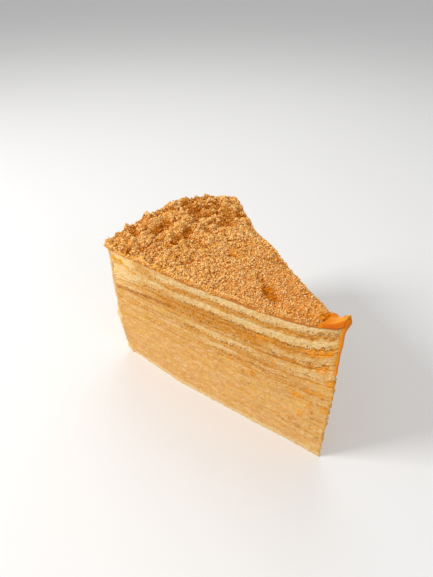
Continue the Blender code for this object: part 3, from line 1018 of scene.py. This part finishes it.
@dataclass
class HoneyGlaze:
    """Glaze over the top biscuit, with a thick lip at the thin end and a drip down it."""

    rows: int = 8
    across: int = 21
    column_size: float = 0.45 * MM
    bulge: float = 0.12 * MM
    lip_bulge: float = 0.6 * MM
    sag: float = 0.85 * MM
    lip_reach: float = 0.2 * MM
    reach_length: float = 3 * MM
    nose_drop: float = 0.9 * MM
    nose_length: float = 0.9 * MM
    lip_widening: float = 0.45 * MM
    flap: float = 1.8 * MM
    lip_start: float = 10.5 * MM
    lip_full: float = 0.5 * MM
    knob: float = 1.5 * MM
    knob_along: float = 8.5 * MM
    knob_length: float = 1.7 * MM
    drip_half_width: float = 0.85 * MM
    drip_depth: float = 0.7 * MM
    drip_top: float = 2.3 * MM
    nose_width: float = 0.8 * MM
    nose_depth: float = 1.8 * MM
    drip_rings: int = 70
    drip_count: int = 20

    def sheet(self, material: Any) -> Any:
        """Make the sheet.

        Its ring runs up a bulged -Y edge, across, down the +Y edge and back underneath. The edge hangs over
        the biscuit by a sag that is noise along the slice, and by a flap at the thin end.

        Args:
            material: The glaze.

        Returns:
            The object.
        """
        t, share = section(np.linspace(0.0, 1.0, self.rows), self.across)
        end = FORM.wall(FORM.stack_height) - 0.3 * MM
        along = FORM.stations(end, self.column_size)[:, None] * np.ones_like(t)
        face = on_face(t)
        run = pack_points(along, side_of(t) * 0.21, 0.0)
        ragged = np.clip(NOISE(run, 6 * MM, 2.2) + 0.6 * NOISE(run, 2.1 * MM, 7.4), -0.4, 1.0)
        lip = smoothstep(self.lip_start, self.lip_full, along)
        flap = self.flap * lip * (1 + 0.35 * NOISE(run, 1.8 * MM, 5.2))
        hang = (self.sag * np.maximum(ragged, 0.0) + flap) * face * (1 - share) ** 2
        bottom = FORM.height(1.0, along, t)
        ripple = 0.12 * MM * NOISE(pack_points(along, t * 9 * MM, 0.0), 3 * MM, 1.1)
        top = FORM.glaze_top(along, t) + ripple
        top = top - self.nose_drop * np.exp(-along / self.nose_length)
        top = top + self.knob * bell((along - self.knob_along) / self.knob_length) * bell((t - 0.75) / 0.45)
        z = bottom + (top - bottom) * share - hang
        rounding = np.sin(np.pi * np.clip(share * 0.85 + 0.15, 0.0, 1.0)) ** 0.7
        bulge = self.bulge + self.lip_bulge * lip * (1 + 0.5 * NOISE(run, 1.5 * MM, 8.6))
        out = bulge * rounding * face + self.lip_widening * np.exp(-along / FORM.tip_shape_length)
        x, y = FORM.plan(along, t, 0.15 * MM - out, z)
        swell = np.sin(np.pi * (0.15 + 0.75 * share)) ** 0.5
        x = x + self.lip_reach * np.exp(-along / self.reach_length) * swell
        # the top rows count as less thick, so they are lighter: painted light
        depth = smoothstep(11.5 * MM, 7.0 * MM, along) * (1 - 0.25 * smoothstep(0.75, 1.0, share))
        depth = depth + 0.6 * bell((along - self.knob_along) / (2.2 * MM)) * (t > 0.2)
        # painted highlight: on the lip's top and along the upper part of its cut faces
        painted_highlight = lip * smoothstep(0.55, 0.95, share) * smoothstep(1.05, 0.55, -t)
        painted_highlight = painted_highlight + lip * bell((share - 0.8) / 0.18) * face
        values = {
            "thick": np.clip(depth + 0.2 * ragged, 0.0, 1.0),
            "painted_highlight": np.clip(painted_highlight, 0.0, 1.0),
        }
        return make_tube("honey_glaze_sheet", pack_points(x, y, z), values, material)

    def drip(self, material: Any) -> Any:
        """Make the drip: half-round cross-sections carried down the thin end, swollen at its foot.

        Args:
            material: The glaze.

        Returns:
            The object.
        """
        climb = np.linspace(0.0, 1.0, self.drip_rings)[:, None]
        turn = np.linspace(0.0, 2 * np.pi, self.drip_count, endpoint=False)[None, :]
        top = FORM.glaze_top(0.0, 0.0) - self.drip_top
        z = FORM.drip_foot + (top - FORM.drip_foot) * climb
        close = np.sqrt(np.clip(1 - (1 - np.clip(climb / 0.05, 0.0, 1.0)) ** 2, 0.0004, 1.0))
        crown = smoothstep(0.70, 1.0, climb) * np.sqrt(np.clip((1.03 - climb) / 0.08, 0.0, 1.0))
        width = self.drip_half_width * (0.45 + 0.55 * np.sqrt(np.clip(climb * 2, 0.0, 1.0))) * close
        width = width + self.nose_width * crown
        run = pack_points(climb * 24 * MM, 0.0, 0.0)
        depth = self.drip_depth * (1 + 0.35 * NOISE(run, 3.5 * MM, 3.3)) * close
        depth = depth * (1 + 0.5 * bell((climb - 0.06) / 0.06)) + self.nose_depth * crown
        x = FORM.tip_x - 1.0 * MM + depth * np.cos(turn) * np.where(np.cos(turn) > 0, 1.0, 0.5)
        y = width * np.sin(turn) + 0.15 * MM * NOISE(run, 6 * MM, 8.8)
        points = pack_points(x, y, z)
        cloudy = 0.30 * NOISE(points, 2.4 * MM, 6.4)
        values = {
            "thick": 0.60 - 0.25 * climb + 0.20 * np.cos(turn) + 0.45 * crown + cloudy,
            # painted highlight: a stripe down the side of the drip
            "painted_highlight": 0.30 * bell((np.sin(turn) + 0.7) / 0.4) * (1 - crown),
        }
        return make_tube("honey_drip", points, values, material)

    def build(self, material: Any) -> None:
        """Build the sheet and the drip, which both stand for the solid glaze."""
        for piece in (self.sheet(material), self.drip(material)):
            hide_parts("honey_glaze")


# ---------------------------------------------------------------- crumbs


@dataclass(frozen=True)
class CrumbKind:
    """One size of crumb."""

    name: str
    count: int
    sizes: tuple[float, float]
    fine: bool
    lift: float
    seed: int
    at_edges: bool = False


CRUMB_KINDS = (
    CrumbKind("coarse_crumbs", 3400, (0.46 * MM, 0.88 * MM), False, 0.45 * MM, 21),
    CrumbKind("medium_crumbs", 4100, (0.34 * MM, 0.60 * MM), False, 0.60 * MM, 22),
    CrumbKind("small_crumbs", 21000, (0.24 * MM, 0.46 * MM), True, 0.60 * MM, 26),
    CrumbKind("fine_crumbs", 22000, (0.15 * MM, 0.32 * MM), True, 0.70 * MM, 23),
    CrumbKind("edge_crumbs", 3600, (0.32 * MM, 0.72 * MM), False, 0.30 * MM, 24, True),
    CrumbKind("fine_edge_crumbs", 9000, (0.15 * MM, 0.38 * MM), True, 0.30 * MM, 25, True),
)


@dataclass(frozen=True)
class Hollow:
    """A hollow among the crumbs, in millimetres: a soft-edged trough between two places (x, y), whose shade
    is painted into the crumbs' colour; a negative shade paints light on a mound.
    """

    start: tuple[float, float]
    end: tuple[float, float]
    width: float
    depth: float
    shade: float

    def mask(self, x: Array, y: Array) -> Array:
        """Bell of the distance from the line between the two places.

        Args:
            x: Places in plan.
            y: Places in plan.

        Returns:
            1 on the line, fading to 0 past the hollow's width.
        """
        way_x, way_y = self.end[0] - self.start[0], self.end[1] - self.start[1]
        far_x, far_y = x / MM - self.start[0], y / MM - self.start[1]
        share = np.clip((far_x * way_x + far_y * way_y) / (way_x**2 + way_y**2), 0.0, 1.0)
        return bell(np.hypot(far_x - share * way_x, far_y - share * way_y) / self.width)


HOLLOWS = (
    Hollow((-28, -4), (-27, -17), 2.4, 1.9, 0.40),
    Hollow((-15, -13), (-18, -2), 2.1, 1.5, 0.40),
    Hollow((-23, -3), (-20, -15), 1.5, -0.9, -0.20),
    Hollow((-34, -6), (-33, -17), 1.8, -0.6, -0.20),
    Hollow((-22, -20), (-22, -22), 1.7, 1.0, 0.35),
    Hollow((-18, -24), (-14, -29), 1.2, 0.8, 0.30),
    Hollow((-27, -34), (-23, -36), 1.2, 0.8, 0.45),
    Hollow((-36, -24), (-33, -25), 1.6, 0.7, 0.30),
    Hollow((-32, 12), (-20, 22), 10.0, 0.3, 0.30),
    Hollow((-32, 5), (-29, 10), 2.2, 1.1, 0.30),
    Hollow((-14, 14), (-13, 20), 2.2, 1.0, 0.30),
    Hollow((-19, 28), (-15, 29), 2.0, 0.8, 0.25),
    Hollow((-32, 33), (-29, 34), 1.9, 0.8, 0.35),
    Hollow((-15, 2), (-14, 4), 1.4, 0.8, 0.25),
    Hollow((-10, -6), (-8, -4), 1.4, 0.7, 0.20),
    Hollow((-8, -19), (-5, -18), 1.9, 0.6, 0.20),
    Hollow((9, 1), (11, 3), 1.6, 1.4, 0.45),
    Hollow((0, -19), (3, -13), 1.8, 0.8, 0.25),
    Hollow((12, -13), (15, -12), 1.6, 0.7, 0.25),
    Hollow((20, 13), (28, 16), 2.0, 0.8, 0.30),
    Hollow((31, 0), (41, -4), 1.3, 0.7, 0.30),
    Hollow((41, -4), (47, -6), 2.2, 0.9, 0.35),
    Hollow((68, -1), (70, 1), 1.4, 0.4, 0.50),
)


def random_turns(count: int, draw: np.random.Generator) -> Array:
    """Draw turns from normalised random quaternions, which favour no direction.

    Args:
        count: Number of turns.
        draw: Random draws.

    Returns:
        Matrices of 3 by 3, one per turn.
    """
    quaternion = draw.normal(size=(count, 4))
    quaternion /= np.linalg.norm(quaternion, axis=1, keepdims=True)
    w, i, j, k = quaternion.T
    entries = [
        1 - 2 * (j * j + k * k), 2 * (i * j - k * w), 2 * (i * k + j * w),
        2 * (i * j + k * w), 1 - 2 * (i * i + k * k), 2 * (j * k - i * w),
        2 * (i * k - j * w), 2 * (j * k + i * w), 1 - 2 * (i * i + j * j),
    ]
    return np.stack(entries, axis=1).reshape(count, 3, 3)


@dataclass
class CrumbTopping:
    """The bed of crumbs and the loose crumbs on it."""

    start: float = 9.5 * MM
    thickness: float = 1.6 * MM
    clearance: float = 0.3 * MM
    heap: float = 5.6 * MM
    heap_skew: float = 0.3
    heap_start: float = 0.45
    rim_thinning: float = 0.9 * MM
    overhang: float = -0.8 * MM
    ragged: float = 0.7 * MM
    far_inset: float = 0.5 * MM
    edge_rows: int = 6
    side_slope: float = 0.5 * MM
    side_rough: float = 0.4 * MM
    embed: float = 0.5 * MM
    grain: float = 0.5 * MM
    edge_drop: float = 0.7 * MM
    bed_lift: float = 0.2 * MM
    bare: tuple[tuple[float, float], ...] = ((90, 15), (47, 8), (25, 5))
    billow_sink: float = 0.75
    lump: float = 1.05 * MM
    lump_size: float = 4.6 * MM
    fray: float = 2.0 * MM
    fray_size: float = 2.6 * MM
    columns: int = 300
    across: int = 150
    shapes: int = 12
    swell: tuple[float, float] = (0.62, 1.25)
    stretch: tuple[float, float] = (0.75, 1.25)
    crest: float = 0.70 * MM
    patch_size: float = 3.0 * MM
    patch_shade: float = 0.40
    shade_depth: float = 1.75 * MM
    hollow_shade: float = 1.35
    bed_shade: float = 0.40
    under_shade: float = 0.42
    spill: float = 0.9 * MM
    spill_depth: float = 1.6 * MM

    def reach(self, share: Array, t: Array) -> tuple[Array, Array]:
        """Distance from the thin end and inset of the ragged bed.

        Args:
            share: 0 at the bed's start, 1 at the wall.
            t: Spread.

        Returns:
            Distance and inset in metres.
        """
        edge = pack_points(t * 45 * MM, 0.0, 0.0)
        start = self.start * (1 + 0.2 * NOISE(edge, 12 * MM, 3.3))
        end = FORM.wall(FORM.stack_height) + self.overhang + self.ragged * NOISE(edge, 3 * MM, 7.1)
        along = start + (end - start) * share
        run = pack_points(along, side_of(t) * 0.4, 0.0)
        uneven = 0.6 * NOISE(run, 2.6 * MM, 4.7) + 0.6 * NOISE(run, 9 * MM, 2.7)
        return along, self.ragged * uneven + np.where(t < 0, 0.0, self.far_inset)

    def lumps(self, x: Array, y: Array) -> Array:
        """Lumps and hollows: billows of absolute noise, larger towards the wall, less the hollows' depth.

        Args:
            x: Places in plan.
            y: Places in plan.

        Returns:
            Height above the smooth bed in metres.
        """
        place = pack_points(x, y, 0.0)
        wall = smoothstep(20 * MM, -35 * MM, x)
        broad = 2 * np.abs(NOISE(place, self.lump_size * 1.5, 1.9)) - self.billow_sink
        middle = 2 * np.abs(NOISE(place, self.lump_size * 0.66, 5.3)) - self.billow_sink
        small = NOISE(place, self.lump_size * 0.30, 8.3) * (0.6 + 0.4 * wall)
        mixed = broad * (0.10 + 0.90 * wall) + middle * (0.30 + 0.95 * wall) + 0.45 * small
        frayed = self.frayed(x, y)
        sunk = sum(hollow.depth * hollow.mask(*frayed) for hollow in HOLLOWS)
        return self.lump * mixed - sunk * MM

    def frayed(self, x: Array, y: Array) -> tuple[Array, Array]:
        """Push places aside by noise, so that a hollow's edge is ragged.

        Args:
            x: Places in plan.
            y: Places in plan.

        Returns:
            The pushed x and y.
        """
        place = pack_points(x, y, 0.0)
        push_x, push_y = (self.fray * NOISE(place, self.fray_size, shift) for shift in (6.9, 3.6))
        return x + push_x, y + push_y

    def sunk(self, along: Array, t: Array, share: Array, x: Array, y: Array, z: Array) -> Array:
        """How deep a place lies among the crumbs, which paints shade into their colour: deeper below the
        crest, in the hollows and in patches of noise; kept lower at the bed's edge.

        Args:
            along: Distance from the thin end.
            t: Spread from one cut face to the other.
            share: 0 at the bed's start, 1 at the wall.
            x: Place in plan.
            y: Place in plan.
            z: Height.

        Returns:
            0 at the smooth crest of the crumbs, 1 in a hollow, where the painted shade is darkest.
        """
        crest = self.top(along, t, share) + self.crest
        frayed = self.frayed(x, y)
        shade = sum(hollow.shade * hollow.mask(*frayed) for hollow in HOLLOWS)
        wall = smoothstep(25 * MM, -25 * MM, x)
        patch = smoothstep(0.12, 0.60, NOISE(pack_points(x, y, 0.0), self.patch_size, 4.2))
        patch = patch * (0.25 + 0.75 * wall)
        # painted shade: below the crest, in the hollows and in the patches
        deep = (crest - z) / self.shade_depth + self.hollow_shade * shade + self.patch_shade * patch
        edge = np.maximum(smoothstep(0.97, 1.0, np.abs(t)), smoothstep(0.985, 1.0, share))
        return np.clip(deep, 0.0, 1.0 - 0.55 * edge)

    def top(self, along: Array, t: Array, share: Array) -> Array:
        """Height of the bed, thin at its start and heaped towards the wall, without its lumps.

        Args:
            along: Distance from the thin end.
            t: Spread from one cut face to the other.
            share: 0 at the bed's start, 1 at the wall.

        Returns:
            z in metres.
        """
        crown = self.heap * (1 - t * t) * (1 + self.heap_skew * t) - self.rim_thinning
        heap = crown * smoothstep(self.heap_start, 1.0, share)
        taper = self.thickness * 0.45 * (1 - smoothstep(0.0, 0.12, share))
        return FORM.glaze_top(along, t) + self.clearance + self.thickness + heap - taper

    def bed(self, material: Any) -> Any:
        """Make the bed, a sheet with a lumpy top.

        Args:
            material: The crumbs' finish.

        Returns:
            The object.
        """
        t, up = section(np.linspace(0.0, 1.0, self.edge_rows), self.across)
        share, t = np.broadcast_arrays(np.linspace(0.0, 1.0, self.columns)[:, None], t)
        along, inset = self.reach(share, t)
        edge_place = pack_points(along, side_of(t) * MM, up * 2 * MM)
        rough_side = self.side_rough * NOISE(edge_place, 0.9 * MM, 1.7) * (up > 0)
        x, y = FORM.plan(along, t, inset + self.side_slope * up + rough_side, FORM.stack_height)
        low = FORM.glaze_top(along, t) - self.embed
        edge = smoothstep(1.0, 0.95, np.abs(t)) * smoothstep(1.0, 0.985, share)
        grains = self.grain * NOISE(pack_points(x, y, up * MM), 1.0 * MM, 2.4)
        high = self.top(along, t, share) + self.lumps(x, y) * (0.45 + 0.55 * edge) + grains + self.bed_lift
        high = high - self.edge_drop * (1 - edge)
        z = low + (high - low) * up
        points = pack_points(x, y, z)
        fine = NOISE(points, 0.8 * MM, 2.4)
        # the bed between the crumbs gets more painted shade
        sunk = self.sunk(along, t, share, x, y, z) + self.bed_shade * edge
        values = {"toast": 0.5 + 0.5 * fine, "sunk": np.clip(sunk, 0.0, 1.0)}
        return make_tube("crumb_bed", points, values, material)

    def shape(self, fine: bool, draw: np.random.Generator) -> tuple[Array, Array]:
        """Make irregular crumbs from one lattice of a cube or an octahedron pushed out to a lumpy ball.

        Args:
            fine: Whether to use the plainer octahedral crumb of 8 faces instead of the cube's 24.
            draw: Random draws.

        Returns:
            Points, one set per shape, and the faces that they share.
        """
        if fine:
            points = np.array([(1, 0, 0), (0, 1, 0), (-1, 0, 0), (0, -1, 0), (0, 0, 1), (0, 0, -1)], float)
            ring = [(0, 1), (1, 2), (2, 3), (3, 0)]
            faces = [(a, b, 4) for a, b in ring] + [(b, a, 5) for a, b in ring]
        else:
            steps = [p for p in itertools.product((-1, 0, 1), repeat=3) if any(p)]
            number = {p: i for i, p in enumerate(steps)}
            points = np.array(steps, float)
            faces = []
            for axis, end, first, second in itertools.product(range(3), (-1, 1), (-1, 0), (-1, 0)):
                corner = []
                for a, b in ((0, 0), (1, 0), (1, 1), (0, 1)):
                    place = [0, 0, 0]
                    place[axis] = end
                    place[(axis + 1) % 3] = first + a
                    place[(axis + 2) % 3] = second + b
                    corner.append(number[tuple(place)])
                faces.append(tuple(corner if end > 0 else corner[::-1]))
        ball = points / np.linalg.norm(points, axis=1, keepdims=True)
        swell = draw.uniform(*self.swell, (self.shapes, len(points), 1))
        stretch = draw.uniform(*self.stretch, (self.shapes, 1, 3))
        return ball[None] * swell * stretch, np.array(faces)

    def scatter(self, kind: CrumbKind, material: Any) -> Any:
        """Scatter one kind of crumb over the bed as a single mesh.

        Every crumb is a shape turned by a random quaternion, scaled and moved onto the bed's height; those
        that fall where the bed is low are marked as sunk, for painted shade, as is the lower half of each
        crumb.

        Args:
            kind: Size, number and seed.
            material: The crumbs' finish.

        Returns:
            The object.
        """
        draw = np.random.default_rng(kind.seed)
        points, faces = self.shape(kind.fine, draw)
        count = kind.count
        share = np.sqrt(draw.uniform(0.0, 1.0, count))
        t = draw.uniform(-1.0, 1.0, count)
        if kind.at_edges:
            at_wall = draw.uniform(0.0, 1.0, count) < 0.25
            share = np.where(at_wall, 1.0, share ** 1.6)
            t = np.where(at_wall, t, np.sign(t))
        along, inset = self.reach(share, t)
        radius = draw.uniform(*kind.sizes, count)
        radius = radius * (0.66 + 0.34 * smoothstep(25 * MM, 95 * MM, along))
        inset = inset + (-0.25 if kind.at_edges else 0.35) * radius
        x, y = FORM.plan(along, t, inset, FORM.stack_height)
        rise = kind.lift * draw.uniform(-1.0, 1.6, count)
        z = self.top(along, t, share) + self.lumps(x, y) + rise
        if kind.at_edges:
            run = pack_points(along, side_of(t) * 0.6, 0.0)
            bare = sum(bell((along - place * MM) / (spread * MM)) for place, spread in self.bare)
            uneven = 0.9 * NOISE(run, 4 * MM, 6.2) + 0.7 * NOISE(run, 1.3 * MM, 2.6)
            low = FORM.glaze_top(along, t) - MM * (1.15 + uneven - 1.6 * bare)
            runs = 0.6 + 0.8 * NOISE(pack_points(x, y, 0.0), 3 * MM, 5.1)
            low = low - self.spill_depth * at_wall * runs
            climb = draw.uniform(0.0, 1.0, count)
            z = low + (z - low) * climb
            out = along + self.spill * at_wall * (1 - climb)
            x, y = FORM.plan(out, t, inset, FORM.stack_height)
        turn = random_turns(count, draw)
        chosen = points[draw.integers(0, self.shapes, count)] * radius[:, None, None]
        placed = np.einsum("nij,nkj->nki", turn, chosen) + pack_points(x, y, z)[:, None, :]
        numbers = faces[None] + np.arange(count)[:, None, None] * points.shape[1]
        each = np.ones((count, points.shape[1]))
        stations = [value[:, None] for value in (along, t, share, x, y)]
        # painted shade: crumbs that lie deep and the lower half of each crumb are darker
        under = self.sunk(*stations, placed[..., 2]) + draw.uniform(-0.15, 0.15, (count, 1))
        under = under - self.under_shade * (placed[..., 2] - z[:, None]) / radius[:, None]
        clump = 0.30 * NOISE(pack_points(x, y, 0.0), 2.0 * MM, 7.6)
        toast = draw.normal(0.28, 0.17, count) + clump + 0.14 * smoothstep(22 * MM, 70 * MM, along)
        toast = np.clip(toast, 0.0, 1.0)
        values = {"toast": toast[:, None] * each, "sunk": np.clip(under, 0.0, 1.0)}
        return make_piece(kind.name, placed, numbers.reshape(-1, faces.shape[1]), values, material)

    def build(self, material: Any) -> None:
        """Build the bed and its loose crumbs, which all stand for the solid topping.

        Args:
            material: The crumbs' finish.
        """
        made = [self.bed(material)] + [self.scatter(kind, material) for kind in CRUMB_KINDS]
        for piece in made:
            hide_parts("crumb_topping")


# ---------------------------------------------------------------- rim


@dataclass
class RimCoat:
    """Cream on the curved outer wall, with knife strokes and smears.

    A smear is its height in millimetres, its spread t and how far it stands out in millimetres.
    """

    foot: float = 0.2 * MM
    relief: float = 0.45 * MM
    relief_size: float = 11 * MM
    stroke: float = 0.22 * MM
    rings: int = 120
    arc: int = 130
    edge: int = 6
    smears: tuple[tuple[float, float, float], ...] = ((27, -1, 1.7), (3, -1, 1.5), (46, 0.35, 0.8))
    smear_height: float = 2.2 * MM
    smear_width: float = 0.13

    def surface(self, climb: Array, t: Array) -> tuple[Array, Array, Array]:
        """Outer surface: the wall's radius plus trowel waves, strokes and smears.

        Args:
            climb: 0 at the foot, 1 under the glaze.
            t: Spread round the wall.

        Returns:
            Distance from the thin end, height, and the wave.
        """
        top = FORM.height(1.0, FORM.cake_radius, t)
        z = self.foot + (top - self.foot) * climb
        place = pack_points(FORM.cake_radius * FORM.half_angle * t, 0.0, z)
        wave = self.relief * NOISE(place, self.relief_size, 2.7)
        wave = wave + self.stroke * NOISE(place, (14 * MM, MM, 3.2 * MM), 6.1)
        for height, spread, reach in self.smears:
            lump = bell((z - height * MM) / self.smear_height) * bell((t - spread) / self.smear_width)
            wave = wave + reach * MM * lump
        return FORM.wall(z) + wave, z, wave

    def coat(self, material: Any) -> Any:
        """Make the coat: its ring runs round outside, across the +Y edge, back inside and across the -Y edge.

        Args:
            material: The cream's finish.

        Returns:
            The object.
        """
        climb = np.linspace(0.0, 1.0, self.rings)[:, None]
        half = np.linspace(0.0, 1.0, self.edge + 1)[1:-1]
        round_t = np.linspace(-1.0, 1.0, self.arc)
        ends = np.ones(len(half))
        t = np.concatenate([-ends, round_t, ends, ends, round_t[::-1], -ends])[None, :]
        outside = [half[::-1] * 0.5, round_t * 0, half * 0.5]
        inside = [0.5 + half * 0.5, 1 + round_t * 0, 0.5 + half[::-1] * 0.5]
        depth = np.concatenate(outside + inside)[None, :]
        outer, z, wave = self.surface(climb, t)
        inner = FORM.wall(z) - FORM.coat_thickness - 0.1 * MM
        along = outer + (inner - outer) * depth
        cut = pack_points(along, side_of(t) * 0.3, z)
        rounded = 0.3 * MM * bell(depth / 0.25) + 0.5 * MM * smoothstep(0.55, 1.0, depth)
        face = on_face(t)
        inset = 0.05 * MM + 0.20 * MM * NOISE(cut, 1.1 * MM, 3.9) + rounded * face
        x, y = FORM.plan(along, t, inset, z)
        streak = 0.25 * NOISE(cut, (3 * MM, MM, 2.4 * MM), 5.5) * face
        stain = 0.20 * depth + 0.15 * smoothstep(52 * MM, 62 * MM, z) + streak - 0.25 * wave / MM
        values = {"stain": np.clip(stain, 0.0, 1.0)}
        return make_tube("rim_cream", pack_points(x, y, z), values, material)

    def build(self, cream: Any) -> None:
        """Build the coat."""
        piece = self.coat(cream)
        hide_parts("rim_coat")


# ---------------------------------------------------------------- studio


@dataclass(frozen=True)
class SoftLight:
    """A square soft light that looks at the middle of the slice."""

    name: str
    place: tuple[float, float, float]
    size: float
    power: float
    colour: Colour = (1.0, 1.0, 1.0)

    def build(self) -> None:
        """Place the light."""
        lamp = bpy.data.lights.new(self.name, "AREA")
        lamp.shape = "SQUARE"
        lamp.size = self.size
        lamp.energy = self.power
        lamp.color = self.colour
        item = bpy.data.objects.new(self.name, lamp)
        aim = Vector((0.0, 0.0, 0.04)) - Vector(self.place)
        item.rotation_euler = aim.to_track_quat("-Z", "Y").to_euler()
        item.location = self.place
        bpy.context.scene.collection.objects.link(item)


@dataclass(frozen=True)
class Studio:
    """Pale floor, soft lights and the camera."""

    floor_size: float = 6.0
    floor_colour: Colour = (0.86, 0.86, 0.86)
    sky: float = 0.50
    eye: tuple[float, float, float] = (0.15576, -0.11427, 0.19491)
    right: tuple[float, float, float] = (0.5953, 0.80349, -0.00509)
    down: tuple[float, float, float] = (0.48469, -0.36414, -0.79529)
    ahead: tuple[float, float, float] = (-0.64086, 0.47097, -0.60621)
    focal_pixels: float = 490.0
    frame_height: float = 577.0
    lights: tuple[SoftLight, ...] = (
        SoftLight("key", (-0.30, -0.58, 0.50), 0.30, 4.6, (1.0, 0.985, 0.96)),
        SoftLight("top", (-0.30, 0.25, 0.60), 0.40, 0.9, (1.0, 0.99, 0.97)),
        SoftLight("fill", (0.60, 0.05, 0.35), 0.45, 0.7, (1.0, 1.0, 1.0)),
    )

    def floor(self) -> None:
        """Lay the floor, a faintly uneven pale sheet."""
        recipe = Recipe("pale_floor")
        cloud = recipe.grain(recipe.place, 0.25, 2.0)
        colour = recipe.blend(cloud, self.floor_colour, tuple(0.98 * c for c in self.floor_colour))
        material = recipe.finish(colour, 0.9, {"Specular IOR Level": 0.1})
        half = self.floor_size / 2
        mesh = bpy.data.meshes.new("floor")
        corners = [(-half, -half, 0), (half, -half, 0), (half, half, 0), (-half, half, 0)]
        mesh.from_pydata(corners, [], [(0, 1, 2, 3)])
        mesh.materials.append(material)
        item = bpy.data.objects.new("floor", mesh)
        bpy.context.scene.collection.objects.link(item)

    def camera(self) -> None:
        """Set the camera up from its three axes."""
        data = bpy.data.cameras.new("camera")
        data.sensor_width = 36.0
        data.lens = self.focal_pixels / self.frame_height * data.sensor_width
        data.clip_start = 0.01
        item = bpy.data.objects.new("camera", data)
        bpy.context.scene.collection.objects.link(item)
        right, down, ahead = Vector(self.right), Vector(self.down), Vector(self.ahead)
        pose = Matrix((right, -down, -ahead)).transposed().to_4x4()
        pose.translation = Vector(self.eye)
        item.matrix_world = pose
        bpy.context.scene.camera = item

    def world(self) -> None:
        """Light the scene evenly from all round."""
        world = bpy.data.worlds.new("soft_sky")
        world.use_nodes = True
        background = world.node_tree.nodes["Background"]
        background.inputs["Color"].default_value = (1.0, 1.0, 1.0, 1.0)
        background.inputs["Strength"].default_value = self.sky
        bpy.context.scene.world = world
        bpy.context.scene.view_settings.view_transform = "Standard"

    def build(self) -> None:
        """Build the floor, the sky, the lights and the camera."""
        self.floor()
        self.world()
        for light in self.lights:
            light.build()
        self.camera()


def main() -> None:
    """Build the slice and its setting."""
    logging.basicConfig(level=logging.INFO, format="%(message)s")
    LOG.info("solids: %d", len(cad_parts))
    biscuit = LayerFinish("honey_biscuit", dark=(0.57, 0.250, 0.036), light=(0.73, 0.405, 0.115)).build()
    cream = LayerFinish(
        "soaked_cream", dark=(0.55, 0.235, 0.030), light=(0.71, 0.385, 0.100), roughness=0.78
    ).build()
    crumbs = CrumbFinish().build()
    CakeStack().build(biscuit, cream)
    HoneyGlaze().build(GlazeFinish().build())
    CrumbTopping().build(crumbs)
    RimCoat().build(CoatFinish().build())
    Studio().build()


if __name__ == "__main__":
    main()
